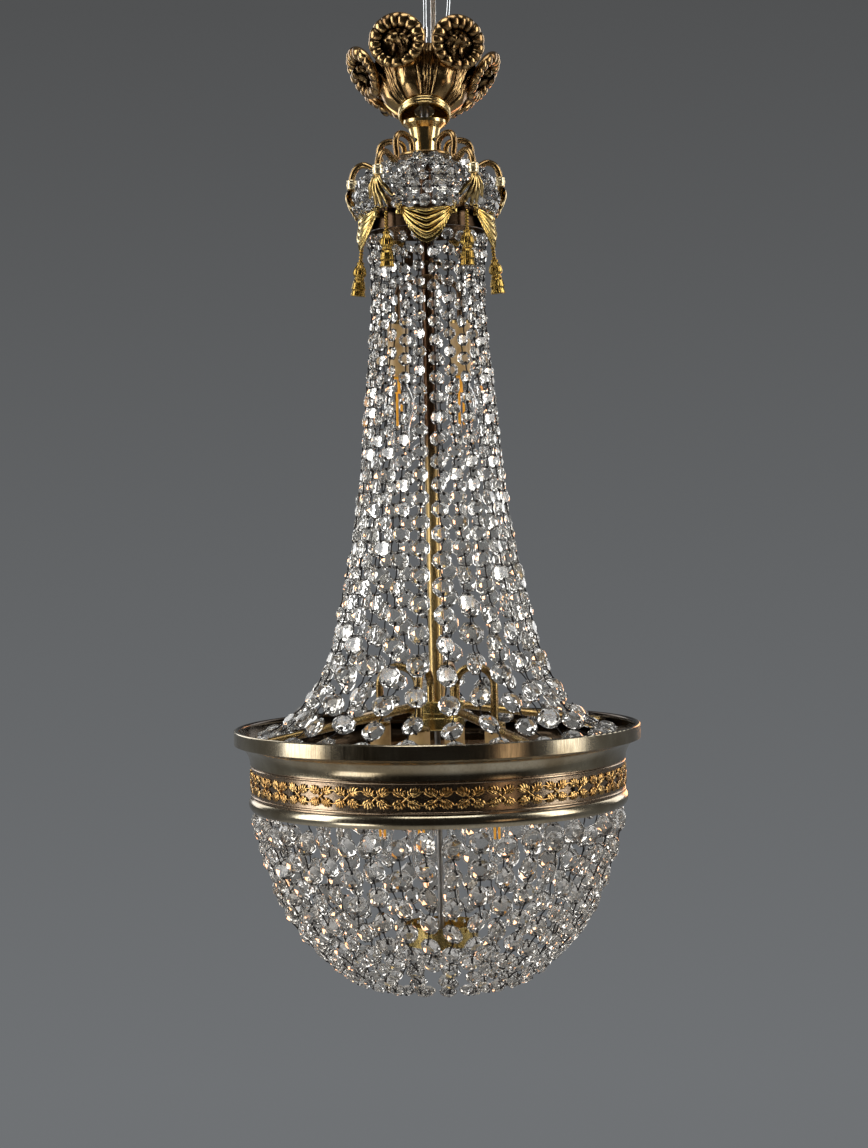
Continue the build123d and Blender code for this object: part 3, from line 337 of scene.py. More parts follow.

# The canopy: one heavy brass casting, patinated brown, bright on the high places and with painted
# shade in the low ones. Six acanthus leaves make its cup, with reeds between them, and each leaf
# carries a pleated lobe that curls outwards round a hollow whose darkness is painted shade.
CANOPY_FOOT = -48.7
CANOPY_HINGE = Vector((0, 21, CANOPY_FOOT))
CANOPY_LEAN = -26
CUP_OUTLINE = [(24.8, 2), (35.5, 13), (39.5, 24), (45, 36), (50, 40), (54.5, 42)]
CUP_WALL = 2.4
LEAVES = 6
FIRST_LEAF = 35
ARCH_HALF, ARCH_TOP = 18.5, 0.84
BELLY_RISE, BORDER_RISE, REED_RISE, VEIN_RISE = 4.6, 3.4, 1.7, 0.45
REEDS_FROM, REED_APART = 22, 4.2
LOBE_OUT, LOBE_UP, LOBE_DOWNWARDS = 60, 45, 35
LOBE_RING, LOBE_WIDE, LOBE_ROLL, LOBE_PLEATS = 19.6, 1.18, 7.8, 16
PLEAT_DEPTH = 0.42
HOLLOW_R, HOLLOW_WIDE, HOLLOW_DEPTH = 15, 1.25, 6.5
CURL = [(-13, 3), (-8, -0.5), (-3, -2), (2, -0.5), (5.5, 3), (5, 7), (1.5, 8.2), (-1, 6)]
CURL_WIDTH = 4.6
CURLS = [
    # shift to the side, size
    (-7.5, 0.95), (0, 1.4), (7.5, 0.95),
]


def outline_at(points, share):
    """A point on the smooth curve through points, share going from 0 to 1."""
    where = share * (len(points) - 1)
    k = min(int(where), len(points) - 2)
    f = where - k
    near = [points[max(0, min(len(points) - 1, k + d))] for d in (-1, 0, 1, 2)]
    pull = (-f + 2 * f**2 - f**3, 2 - 5 * f**2 + 3 * f**3, f + 4 * f**2 - 3 * f**3, f**3 - f**2)
    return tuple(sum(0.5 * p * value for p, value in zip(pull, values)) for values in zip(*near))


def add_rows(bm, rows, painted_shades=None, around=False, close=False):
    """A skin over rows of points in mm, with the painted shade of each point.

    around joins each row's ends, close joins the last row to the first.
    """
    layer = bm.verts.layers.float.get("hollow") or bm.verts.layers.float.new("hollow")
    made = []
    for number, row in enumerate(rows):
        line = []
        for place, point in enumerate(row):
            vert = bm.verts.new(MM * Vector(point))
            vert[layer] = 0 if painted_shades is None else max(0.0, min(1.0, painted_shades[number][place]))
            line.append(vert)
        made.append(line)
    pairs = list(zip(made, made[1:])) + ([(made[-1], made[0])] if close else [])
    for lower, upper in pairs:
        for k in range(len(lower) - (0 if around else 1)):
            after = (k + 1) % len(lower)
            bm.faces.new((lower[k], lower[after], upper[after], upper[k]))
    return made


def around(azimuth, radius, height):
    """The point in mm at this azimuth from the front, distance from the stem and level."""
    turn = math.radians(azimuth)
    return Vector((math.sin(turn) * radius, -math.cos(turn) * radius, height))


def turned(first, second, angle):
    """The direction that lies this far round from first towards second."""
    return first * math.cos(angle) + second * math.sin(angle)


def mesh_piece(bm, name, material, smooth=True):
    """The shape as an object of this name."""
    mesh = bpy.data.meshes.new(name)
    bm.normal_update()
    bm.to_mesh(mesh)
    bm.free()
    mesh.materials.append(material)
    if smooth:
        mesh.shade_smooth()
    return add_object(name, mesh)


def leaf_relief(off, share):
    """Rise in mm and painted shade of the cup's skin, off degrees from the middle of a leaf."""
    arch = ARCH_HALF * math.sqrt(max(0.0, 1 - (share / ARCH_TOP) ** 2.4))
    swell = math.sin(math.pi * min(1, (share + 0.03) / 0.86)) ** 0.8
    belly = BELLY_RISE * max(0.0, 1 - (off / (0.86 * arch + 0.6)) ** 2) ** 0.7 * swell
    border = BORDER_RISE * math.exp(-(((abs(off) - arch) / 1.3) ** 2))
    veins = VEIN_RISE * math.sin(off * 2.6 + math.copysign(share * 26, off))
    veins *= 1 if abs(off) > arch + 1.5 or share > ARCH_TOP else 0.7 * (share > 0.3)
    reeds = 0.0
    if abs(off) > REEDS_FROM:
        reeds = REED_RISE * (0.5 + 0.5 * math.cos(2 * math.pi * (abs(off) - 30) / REED_APART))
    rise = belly + border + veins + reeds
    # Painted shade in the low places of the relief and along a line just inside each leaf's
    # border.
    groove_shade = max(0.0, 1 - rise / 0.8) if share < 0.92 else 0.2
    groove_shade = max(groove_shade, 1.5 * math.exp(-(((abs(off) - arch + 2.7) / 0.8) ** 2)))
    return rise, 0.75 * groove_shade


def add_canopy_cup(bm):
    """The cup's outer skin with its six leaves and reeds, the brim, and its plain inside, painted
    in shade.
    """
    steps_up, steps_round = 44, 360
    azimuths = [360 * step / steps_round for step in range(steps_round)]
    rows, painted_shades = [], []
    for up in range(steps_up + 1):
        share = up / steps_up
        radius, height = outline_at(CUP_OUTLINE, share)
        row, shades = [], []
        for azimuth in azimuths:
            rise, shade = leaf_relief((azimuth - FIRST_LEAF + 30) % 60 - 30, share)
            row.append(around(azimuth, radius + 0.88 * rise, height - 0.3 * rise))
            shades.append(shade)
        rows.append(row)
        painted_shades.append(shades)
    for up in range(steps_up, -1, -4):
        radius, height = outline_at(CUP_OUTLINE, up / steps_up)
        lift = 2 if up == steps_up else 1
        rows.append([around(azimuth, radius - CUP_WALL, height + lift) for azimuth in azimuths])
        # Painted shade: the inside of the cup is painted dark.
        painted_shades.append([0.7] * steps_round)
    add_rows(bm, rows, painted_shades, around=True, close=True)


def add_pleated_roll(bm, centre, facing, up, side):
    """The lobe's rim: a roll thicker at its top, pleated over its front; painted shade lies
    between the pleats and on its inner side.
    """
    turns, sections = 264, 28
    rows, painted_shades = [], []
    for turn in range(turns):
        angle = 2 * math.pi * turn / turns
        outward = turned(up, side, angle)
        ring = LOBE_RING * turned(up, side * LOBE_WIDE, angle)
        pleat = abs(math.sin(LOBE_PLEATS / 2 * angle + 0.5 * math.sin(3 * angle)))
        roll = LOBE_ROLL * (0.87 + 0.13 * math.cos(angle))
        row, shades = [], []
        for section in range(sections):
            beta = 2 * math.pi * section / sections
            front = max(0.0, math.cos(beta)) ** 0.7
            reach = roll * (1 - PLEAT_DEPTH * front * (1 - pleat**0.45))
            row.append(centre + ring + turned(0.8 * facing, outward, beta) * reach)
            # Painted shade between the pleats of the front and over the inner side of the roll.
            inner_shade = 1.4 * max(0.0, -0.5 - math.sin(beta))
            shades.append(1.5 * front * (1 - pleat) ** 2.2 + inner_shade)
        rows.append(row)
        painted_shades.append(shades)
    add_rows(bm, rows, painted_shades, around=True, close=True)


def add_lobe_hollow(bm, centre, facing, up, side):
    """The ribbed dish inside the roll, all in painted shade, a little less on its ribs."""
    rows, painted_shades = [], []
    for ring in range(9):
        share = ring / 8
        row, shades = [], []
        for turn in range(72):
            angle = 2 * math.pi * turn / 72
            rib = 0.9 * abs(math.sin(5 * angle)) * math.sin(math.pi * share)
            out = turned(up, side * HOLLOW_WIDE, angle) * (HOLLOW_R * share + 0.2)
            row.append(centre + out - facing * (HOLLOW_DEPTH - 4.5 * share**2 - rib))
            # Painted shade over the whole dish, a little less on the ribs.
            shades.append(0.95 - 0.6 * rib)
        rows.append(row)
        painted_shades.append(shades)
    add_rows(bm, rows, painted_shades, around=True)


def add_curl(bm, centre, facing, up, side, scale):
    """One curled leaf tip that stands in the dish inside the roll, in painted shade that grows
    towards its edges.
    """
    for face, flip in ((0.5, 1), (-0.5, -1)):
        rows, painted_shades = [], []
        for step in range(23):
            share = step / 22
            rise, out = outline_at(CURL, share)
            ahead = outline_at(CURL, min(1, share + 0.02))
            normal = Vector((ahead[1] - out, rise - ahead[0])).normalized()
            width = scale * CURL_WIDTH * math.sin(math.pi * (0.14 + 0.8 * share)) ** 0.7
            row, shades = [], []
            for across in range(7):
                lean = across / 3 - 1
                lift = face - 1.3 * lean * lean + 0.35 * abs(math.sin(3 * math.pi * lean))
                spot = up * (scale * rise + normal.x * lift)
                spot += facing * (scale * out + normal.y * lift)
                row.append(centre + spot + side * (flip * lean * width))
                # Painted shade, stronger towards the curl's edges.
                shades.append(0.35 + 0.3 * abs(lean))
            rows.append(row)
            painted_shades.append(shades)
        add_rows(bm, rows, painted_shades)


def add_canopy_lobe(bm, azimuth):
    """One lobe: the pleated roll round its dish, with three curled leaf tips inside it."""
    fall = math.radians(LOBE_DOWNWARDS)
    centre = around(azimuth, LOBE_OUT, LOBE_UP)
    facing = around(azimuth, math.cos(fall), -math.sin(fall))
    up = around(azimuth, math.sin(fall), math.cos(fall))
    side = around(azimuth + 90, 1, 0)
    add_pleated_roll(bm, centre, facing, up, side)
    add_lobe_hollow(bm, centre, facing, up, side)
    for shift, scale in CURLS:
        add_curl(bm, centre + side * shift, facing, up, side, scale)


def tip_canopy(bm):
    """Leans the level canopy back on the rim of the neck, as it hangs at rest."""
    hinge = MM * CANOPY_HINGE
    bmesh.ops.translate(bm, verts=bm.verts, vec=(0, 0, MM * CANOPY_FOOT))
    lean = Matrix.Rotation(math.radians(CANOPY_LEAN), 3, "X")
    bmesh.ops.rotate(bm, verts=bm.verts, cent=hinge, matrix=lean)


bronze = aged_metal(
    "canopy_bronze", (0.56, 0.37, 0.16), (0.26, 0.15, 0.065), (0.018, 0.009, 0.005), 0.22, 0.014
)
bm = bmesh.new()
add_canopy_cup(bm)
for leaf in range(LEAVES):
    add_canopy_lobe(bm, FIRST_LEAF + 360 / LEAVES * leaf)
tip_canopy(bm)
canopy = mesh_piece(bm, "canopy_flower", bronze)
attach(canopy, "canopy")
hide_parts("canopy_casting")

# The canopy's foot: a ring turned from brass with two bright beads, fixed under the casting. It
# drops over the flange of the neck and leans with the canopy.
FOOT_OUTLINE = [
    (10.2, 0.1), (10.2, 1.9), (24, 2), (25.4, 1.2), (26.1, 0), (25.4, -1.2), (24.9, -1.6),
    (25.6, -2.2), (26.4, -3.4), (25.8, -4.6), (24.9, -5), (25.3, -5.6), (25.5, -6.4), (25, -7),
    (22.7, -7), (22.7, 0.1),
]


def add_lathe(bm, outline, steps=120):
    """A turned shape: a closed outline of radii and levels in mm, swept round the stem."""
    azimuths = [360 * step / steps for step in range(steps)]
    rows = [[around(azimuth, *point) for azimuth in azimuths] for point in outline]
    add_rows(bm, rows, around=True, close=True)


bright_brass = aged_metal(
    "bright_brass", (0.86, 0.66, 0.32), (0.62, 0.43, 0.17), (0.12, 0.06, 0.02), 0.2, lathe=True
)
bm = bmesh.new()
add_lathe(bm, FOOT_OUTLINE)
tip_canopy(bm)
foot = mesh_piece(bm, "canopy_foot", bright_brass)
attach(foot, "canopy")
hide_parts("canopy_collar")

# The neck and what it holds: a turned brass trumpet with four dark grub screws round the threaded
# rod, with the cast eye above it and the cross-shaped terminal block for the flex beside the rod.
give_finish(bright_brass, "neck_collar")
steel = aged_metal("dull_steel", (0.36, 0.35, 0.33), (0.22, 0.21, 0.2), (0.05, 0.045, 0.04), 0.35)
dark_steel = aged_metal(
    "black_steel", (0.06, 0.055, 0.05), (0.04, 0.035, 0.03), (0.01, 0.01, 0.01), 0.4
)
give_finish(steel, "hanging_eye", "centre_rod", "bottom_rod")
give_finish(dark_steel, "neck_set_screws", "frieze_screws")
block = mottled("terminal_plastic", 0.4, 0.004, (0.75, 0.73, 0.66), (0.6, 0.57, 0.5))
give_finish(block, "terminal_block")

# The crown's frame: a top plate, a hoop, and five brass rods bent into double scrolls that stand
# on the plate, arch over the crystals, pass through a bright boss and end in the hoop under a
# gilt acanthus leaf.
ARM_BENDS = [
    (22, -84), (22, -71), (34, -66), (46, -68), (49.5, -78), (46, -90), (52, -95), (58, -91),
    (66, -87), (75, -91), (79.5, -104), (78.5, -118), (75, -130), (63, -133), (58.5, -139.5),
]
ARM_AZIMUTHS = [36 + 72 * number for number in range(5)]
ARM_R = 3.2
ARM_FOOT_OUTLINE = [(0, 3.6), (1.2, 3.9), (2.2, 3.4), (3, 2.6)]
BOSS_PLACE = (78.6, -107)
BOSS_OUTLINE = [
    (-5.2, 3), (-4.6, 4.6), (-3.6, 5.1), (-2.6, 4.5), (-1.8, 4.9), (0, 5.3), (1.8, 4.9),
    (2.6, 4.5), (3.6, 5.1), (4.6, 4.6), (5.2, 3),
]
LEAF_TOP = -111
LEAF_BLADES = [
    # sideways at the tip, drop, half width
    (0, 32, 3.2), (-6, 29, 2.8), (6, 29, 2.8), (-12, 22, 2.4), (12, 22, 2.4),
]
LEAF_SPINE = [
    # distance from the stem, share of the drop, share of the way sideways
    (79, 0, 0), (82.5, 0.3, 0.35), (80, 0.62, 0.8), (75, 0.86, 1), (73.5, 1, 1.15),
]


def soften(points, rounds=3):
    """Rounds the corners of a line of points by cutting them again and again."""
    for _ in range(rounds):
        cut = [points[0]]
        for a, b in zip(points, points[1:]):
            cut += [a * 0.75 + b * 0.25, a * 0.25 + b * 0.75]
        points = [*cut, points[-1]]
    return points


def heading(points, number):
    """The direction in which a line of points runs at one of them."""
    return (points[min(number + 1, len(points) - 1)] - points[max(number - 1, 0)]).normalized()


def add_tube(bm, points, radius, sides=6):
    """A round wire along points in metres, of one radius or of one for each point."""
    rings = []
    before = heading(points, 0).orthogonal().normalized()
    for number, point in enumerate(points):
        onward = heading(points, number)
        before = (before - onward * before.dot(onward)).normalized()
        over = onward.cross(before)
        reach = radius[number] if isinstance(radius, list) else radius
        angles = [2 * math.pi * step / sides for step in range(sides)]
        rings.append([bm.verts.new(point + turned(before, over, a) * reach) for a in angles])
    for first, second in zip(rings, rings[1:]):
        for step in range(sides):
            after = (step + 1) % sides
            bm.faces.new((first[step], first[after], second[after], second[step]))
    bm.faces.new(rings[0][::-1])
    bm.faces.new(rings[-1])


def add_barrel(bm, centre, along, outline, sides=28, flutes=0, depth=0.0):
    """A turned bead on an axis, its outline as (distance along, radius) in mm, maybe fluted, with
    painted shade in its flutes.
    """
    across = along.orthogonal().normalized()
    over = along.cross(across)
    rows, painted_shades = [], []
    for distance, radius in outline:
        row, shades = [], []
        for step in range(sides):
            angle = 2 * math.pi * step / sides
            dip = abs(math.sin(flutes / 2 * angle)) if flutes else 1
            reach = radius * (1 - depth * (1 - dip))
            row.append(centre + along * distance + turned(across, over, angle) * reach)
            # Painted shade in the bottoms of the flutes.
            shades.append(0.8 * (1 - dip))
        rows.append(row)
        painted_shades.append(shades)
    made = add_rows(bm, rows, painted_shades, around=True)
    bm.faces.new(made[0][::-1])
    bm.faces.new(made[-1])


def add_leaf(bm, spine, widths, facing, lobes=0, rise=1.0, thick=0.8):
    """A cast leaf along a spine of points in mm: crowned across, notched at its edges, veined,
    with painted shade between its veins and at its edges.
    """
    for flip in (1, -1):
        rows, painted_shades = [], []
        for number, point in enumerate(spine):
            share = number / (len(spine) - 1)
            onward = heading(spine, number)
            across = onward.cross(facing).normalized()
            out = across.cross(onward).normalized()
            notch = 1 - 0.28 * abs(math.cos(math.pi * lobes * share)) ** 3 if lobes else 1
            width = outline_at([(w,) for w in widths], share)[0] * notch
            row, shades = [], []
            for step in range(9):
                lean = step / 4 - 1
                vein = abs(math.cos(2 * math.pi * lean))
                crown = rise * (1 - lean * lean) + 0.25 * rise * vein
                lift = crown if flip > 0 else -thick + 0.6 * crown
                row.append(point + across * (flip * lean * width) + out * lift)
                # Painted shade between the veins and towards the edges.
                shades.append(0.6 * (1 - vein) + 0.4 * lean**4)
            rows.append(row)
            painted_shades.append(shades)
        add_rows(bm, rows, painted_shades)


copper_gilt = aged_metal(
    "old_gilt_rod", (0.44, 0.29, 0.12), (0.22, 0.13, 0.055), (0.05, 0.022, 0.01), 0.24
)
gilt = aged_metal("gilt", (0.92, 0.7, 0.32), (0.76, 0.53, 0.2), (0.16, 0.08, 0.02), 0.22)
cream_gilt = aged_metal(
    "rubbed_gilt", (0.98, 0.86, 0.58), (0.9, 0.74, 0.42), (0.4, 0.26, 0.1), 0.3
)
crown_dark = aged_metal(
    "crown_dark", (0.09, 0.055, 0.03), (0.05, 0.03, 0.018), (0.02, 0.01, 0.006), 0.3
)
upright = Vector((0, 0, 1))
for number, azimuth in enumerate(ARM_AZIMUTHS, start=1):
    bm = bmesh.new()
    bm.verts.layers.float.new("hollow")
    line = soften([around(azimuth, *bend) for bend in ARM_BENDS])
    taper = [ARM_R * MM * (0.8 + 0.2 * min(1, k / 12)) for k in range(len(line))]
    add_tube(bm, [MM * point for point in line], taper, 14)
    add_barrel(bm, line[0], upright, ARM_FOOT_OUTLINE)
    rod = mesh_piece(bm, f"crown_rod_{number}", copper_gilt)
    ride_chandelier(rod, "gilt_brass", f"crown_arm_{number}")
    bm = bmesh.new()
    add_barrel(bm, around(azimuth, *BOSS_PLACE), upright, BOSS_OUTLINE)
    boss = mesh_piece(bm, f"crown_boss_{number}", cream_gilt)
    ride_chandelier(boss, "gilt_brass")
    bm = bmesh.new()
    for sideways, drop, width in LEAF_BLADES:
        side = around(azimuth + 90, sideways, 0)
        blade = [
            around(azimuth, out, LEAF_TOP - fall * drop) + side * aside
            for out, fall, aside in LEAF_SPINE
        ]
        widths = [1.2, width, 0.9 * width, width, 0.7 * width, 0.4]
        add_leaf(bm, soften(blade, 2), widths, around(azimuth, 1, 0), 3, 1.5)
    leaf = mesh_piece(bm, f"crown_leaf_{number}", gilt)
    ride_chandelier(leaf, "gilt_brass")
give_finish(copper_gilt, "crown_plate")
give_finish(crown_dark, "crown_ring", "tassel_brackets")

# The drapery: five cast and chased brass cloths hung in a ring round the hoop, gathered into a
# knot at each corner, pleated in nested folds and edged with a band of fringe.
SWAG_TOP, SWAG_OUT, SWAG_HALF = -141, 62.6, 27
SWAG_FOLDS, FOLD_RISE, SWAG_BACK = 4, 3.6, -1.1
FRINGE_FROM, FRINGE_THREADS, HEM_WIDE = 0.8, 26, 0.05
KNOT_OUTLINE = [
    (0, 1.2), (0.7, 2.7), (2, 3.4), (3.4, 2.6), (4.2, 1.9), (5.2, 2.5), (8, 3.2), (11, 3.5),
    (11.8, 2),
]


def swag_point(across, down, azimuth, relief):
    """The place in mm on the cloth: across from -1 to 1, down from 0 at the top to 1."""
    sag = 3.5 + 34 * down**0.9
    bow = 1 - abs(across) ** (1.1 + 0.7 * down)
    height = SWAG_TOP - 0.6 - sag * bow
    swell = (1 - abs(across) ** 3) * (1.2 + relief) + 5 * (sag / 36) * bow
    turn = azimuth + math.degrees(across * SWAG_HALF / SWAG_OUT)
    return around(turn, SWAG_OUT + swell, height)


def add_swag(bm, azimuth):
    """One cloth: its folds above, its fringe below, and its plain back, with painted shade in the
    folds' troughs, between the threads and over the back.
    """
    steps, levels = 132, 72
    places = [2 * step / steps - 1 for step in range(steps + 1)]
    rows, painted_shades = [], []
    for level in range(levels + 1):
        down = level / levels
        row, shades = [], []
        for across in places:
            if down < FRINGE_FROM:
                wave = abs(math.sin(math.pi * SWAG_FOLDS * down / FRINGE_FROM + 0.5 * across))
                relief = FOLD_RISE * wave**0.6 + 0.3 * math.sin(down * 95)
                # Painted shade in the troughs of the folds.
                shade = 0.95 * (1 - wave) ** 2.2
                hem = down
            else:
                thread = abs(math.sin(math.pi * across * FRINGE_THREADS))
                relief = 0.4 + 0.9 * thread + 0.9 * (down < FRINGE_FROM + HEM_WIDE)
                # Painted shade between the threads of the fringe.
                shade = 0.75 * (1 - thread) ** 1.5
                hem = down - 0.05 * (1 - thread) * (down - FRINGE_FROM) / (1 - FRINGE_FROM)
            row.append(swag_point(across, hem, azimuth, relief))
            shades.append(shade)
        rows.append(row)
        painted_shades.append(shades)
    for level in range(levels, -1, -levels // 4):
        down = 0.96 * level / levels
        rows.append([swag_point(across, down, azimuth, SWAG_BACK) for across in places])
        # Painted shade over the back of the cloth.
        painted_shades.append([0.8] * (steps + 1))
    add_rows(bm, rows, painted_shades, close=True)


polished = aged_metal(
    "chased_gilt", (1.0, 0.78, 0.32), (0.85, 0.58, 0.18), (0.1, 0.045, 0.01), 0.15
)
for number, azimuth in enumerate(range(0, 360, 72), start=1):
    bm = bmesh.new()
    add_swag(bm, azimuth)
    for side in (-1, 1):
        turn = azimuth + side * math.degrees(0.97 * SWAG_HALF / SWAG_OUT)
        knot = around(turn, SWAG_OUT + 2.4, SWAG_TOP)
        hang = (around(turn, SWAG_OUT + 3.2, SWAG_TOP - 9) - knot).normalized()
        add_barrel(bm, knot - hang * 2.5, hang, KNOT_OUTLINE, 36, 12, 0.22)
    swag = mesh_piece(bm, f"drapery_swag_{number}", polished)
    ride_chandelier(swag, "gilt_brass", "drapery_swags")

# Tassels: cast ropes of twisted beads, each with a pear-shaped head and two flared fringed
# skirts, hung on a pin from a pair of ears under each arm. The two side ones hang lower and
# stand out.
TASSEL_OUT, TASSEL_PIN = 66.5, -144
TASSEL_LONG = (2, 4)
ROPE_LENGTH, ROPE_EXTRA, TASSEL_LEAN = 19, 20, 6
ROPE_FROM, EYE_R, EYE_WIRE_R = 2.4, 2.1, 0.55
BEAD_APART = 3.1
BEAD_OUTLINE = [
    # share of the bead's length, radius
    (0, 1.2), (0.2, 1.95), (0.5, 2.3), (0.8, 1.95), (1, 1.2),
]
HEAD_OUTLINE = [
    (-0.5, 1.6), (0.4, 3.8), (1.4, 4), (2.2, 2.9), (3.4, 4), (7, 6.1), (11, 7), (13.4, 6.6),
    (15, 4.8), (16, 4.1), (16.8, 5.3), (17.6, 5.4), (18.2, 4.6),
]
SKIRT_DROP = 17.8
SKIRT_OUTLINE = [
    (0, 3.6), (1, 5.4), (4, 6.2), (8.4, 7), (9.4, 7.4), (9.9, 7.1), (9.9, 6.2), (13, 6.8),
    (15.4, 7.2), (16.2, 7.5), (16.6, 7),
]

old_gilt = aged_metal(
    "olive_gilt", (0.72, 0.5, 0.14), (0.5, 0.31, 0.07), (0.1, 0.045, 0.01), 0.2
)
down = Vector((0, 0, -1))
angles = [2 * math.pi * k / 20 for k in range(21)]
eye = [MM * EYE_R * Vector((math.sin(angle), 0, math.cos(angle))) for angle in angles]
for number, azimuth in enumerate(ARM_AZIMUTHS, start=1):
    long = number in TASSEL_LONG
    bm = bmesh.new()
    bm.verts.layers.float.new("hollow")
    add_tube(bm, eye, EYE_WIRE_R * MM, 8)
    rope_end = 2.3 + ROPE_LENGTH + (ROPE_EXTRA if long else 0)
    beads = int((rope_end - ROPE_FROM) / BEAD_APART)
    step = (rope_end - ROPE_FROM) / beads
    bead_outline = [(share * step, radius) for share, radius in BEAD_OUTLINE]
    for bead in range(beads):
        add_barrel(bm, down * (ROPE_FROM + step * bead), down, bead_outline, 20, 6, 0.12)
    add_barrel(bm, down * rope_end, down, HEAD_OUTLINE, 48, 14, 0.2)
    add_barrel(bm, down * (rope_end + SKIRT_DROP), down, SKIRT_OUTLINE, 60, 22, 0.17)
    turn = Matrix.Rotation(math.radians(azimuth), 3, "Z")
    if long:
        turn = turn @ Matrix.Rotation(math.radians(-TASSEL_LEAN), 3, "X")
    bmesh.ops.rotate(bm, verts=bm.verts, cent=(0, 0, 0), matrix=turn)
    bmesh.ops.translate(bm, verts=bm.verts, vec=MM * around(azimuth, TASSEL_OUT, TASSEL_PIN))
    tassel = mesh_piece(bm, f"rope_tassel_{number}", old_gilt)
    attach(tassel, f"tassel_{number}")
    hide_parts(f"tassel_{number}")

# The stem and its small parts: a drawn brass tube whose colour is painted reflection, nearly black
# at the top for the dark room and gold at the foot for light from below, with a square bar and a
# little clamp under the crown.
STEM_REFLECTED_GOLD_BELOW, STEM_REFLECTED_DARK_ABOVE = -0.46, -0.36
stem_finish, tree, skin = new_finish("stem_brass", Metallic=1)
place = add_node(tree, "TexCoord").outputs["Object"]
height = add_node(tree, "SeparateXYZ", {0: place}).outputs["Z"]
drawn = add_node(tree, "VectorMath", {0: place, 1: (9, 9, 1)}, operation="MULTIPLY")
streaks = blotches(tree, 0.03, 5, drawn.outputs[0])
reflected_gold = blend_colours(tree, streaks, (0.62, 0.45, 0.2), (0.38, 0.26, 0.1))
reflected_dark = blend_colours(tree, streaks, (0.035, 0.018, 0.01), (0.1, 0.055, 0.03))
# Painted reflection: gold at the foot where the tube reflects light from below, nearly black at
# the top where it reflects the dark room.
wear_and_painted_light = spread(tree, height, STEM_REFLECTED_GOLD_BELOW, STEM_REFLECTED_DARK_ABOVE)
wear_and_painted_light = blend_colours(tree, wear_and_painted_light, reflected_gold, reflected_dark)
coat(tree, skin, wear_and_painted_light, spread(tree, streaks, 0.3, 0.7, 0.2, 0.36))
grain_bump(tree, skin, streaks, 0.0001)
give_finish(stem_finish, "stem_tube")
dark_brass = aged_metal(
    "dark_brass", (0.16, 0.1, 0.05), (0.08, 0.045, 0.025), (0.02, 0.012, 0.008), 0.3
)
give_finish(
    dark_brass, "cross_bar", "cord_clamp", "upper_lamp_collar", "upper_arm_left", "upper_arm_right"
)

# Hub and lower arms: two stacked turned discs on the stem, four spokes out to the ring, and four
# tube arms that arch over and carry a lamp each.
hub_brass = aged_metal(
    "hub_brass", (0.62, 0.47, 0.18), (0.4, 0.28, 0.09), (0.08, 0.05, 0.02), 0.24, lathe=True
)
arm_brass = aged_metal(
    "arm_brass", (0.4, 0.28, 0.11), (0.22, 0.14, 0.06), (0.04, 0.025, 0.012), 0.26
)
give_finish(hub_brass, "hub_upper", "hub_lower", "bottom_collar", "bottom_nut")
give_finish(arm_brass, "ring_spokes", *[f"lower_arm_{k}" for k in range(1, 5)])

# Lamps: a spun cup, a moulded candle sleeve with the lampholder inside, and a clear candle bulb
# with four yellow light sticks round a glass stem.
give_finish(arm_brass, "lamp_cups", "bulb_caps")
sleeve, tree, skin = new_finish("candle_sleeve")
grain = blotches(tree, 0.012, 5)
aged = spread(tree, grain, 0.35, 0.7)
cream = blend_colours(tree, aged, (0.44, 0.29, 0.12), (0.3, 0.18, 0.065))
coat(tree, skin, cream, spread(tree, grain, 0.3, 0.7, 0.32, 0.5))
grain_bump(tree, skin, blotches(tree, 0.004, 3), 0.00015)
give_finish(sleeve, "candle_sleeves")
holder = mottled("holder_plastic", 0.5, 0.004, (0.05, 0.048, 0.045), (0.09, 0.085, 0.08))
give_finish(holder, "lampholders")
bulb, tree, skin = new_finish("bulb_glass", Transmission_Weight=1, IOR=1.45)
film = blotches(tree, 0.015)
dusty = spread(tree, film, 0.5, 0.8)
dusty = blend_colours(tree, dusty, (0.98, 0.98, 0.97), (0.86, 0.84, 0.8))
coat(tree, skin, dusty, spread(tree, film, 0.4, 0.8, 0.0, 0.08))
grain_bump(tree, skin, blotches(tree, 0.02, 1), 0.0002, 0.4)
give_finish(bulb, "bulb_glasses")
# Painted glow: the bulbs are not lamps in this scene; the sticks give off a faint light of their
# own amber.
sticks, tree, skin = new_finish("light_sticks", Roughness=0.4, Emission_Strength=0.35)
powder = blotches(tree, 0.002)
amber = blend_colours(tree, powder, (1.0, 0.5, 0.03), (0.95, 0.4, 0.02))
coat(tree, skin, amber)
tree.links.new(amber, skin.inputs["Emission Color"])
grain_bump(tree, skin, powder, 0.00005)
give_finish(sticks, "bulb_filaments")

# The main ring: a spun brass rim, a hollow cove, a flat frieze between two bead lines and a small
# round moulding, all old brass with a fine brushed grain and painted shade on the faces turned
# towards the stem, and four dark screws in the frieze.
rim_finish, tree, skin = new_finish("rim_brass", Metallic=1)
place = add_node(tree, "TexCoord").outputs["Object"]
upwards = add_node(tree, "VectorMath", {0: place, 1: (1, 1, 0.06)}, operation="MULTIPLY")
brushed = blotches(tree, 0.0012, 4, upwards.outputs[0])
patches = spread(tree, blotches(tree, 0.05, 5, place), 0.38, 0.64)
wear_and_painted_light = blend_colours(tree, patches, (0.5, 0.44, 0.32), (0.3, 0.24, 0.15))
scratched = spread(tree, brushed, 0.45, 0.8, 0, 0.5)
wear_and_painted_light = blend_colours(tree, scratched, wear_and_painted_light, (0.16, 0.12, 0.08))
level = add_node(tree, "VectorMath", {0: place, 1: (1, 1, 0)}, operation="MULTIPLY")
facing = {0: add_node(tree, "NewGeometry").outputs["Normal"], 1: level.outputs[0]}
facing = add_node(tree, "VectorMath", facing, operation="DOT_PRODUCT").outputs["Value"]
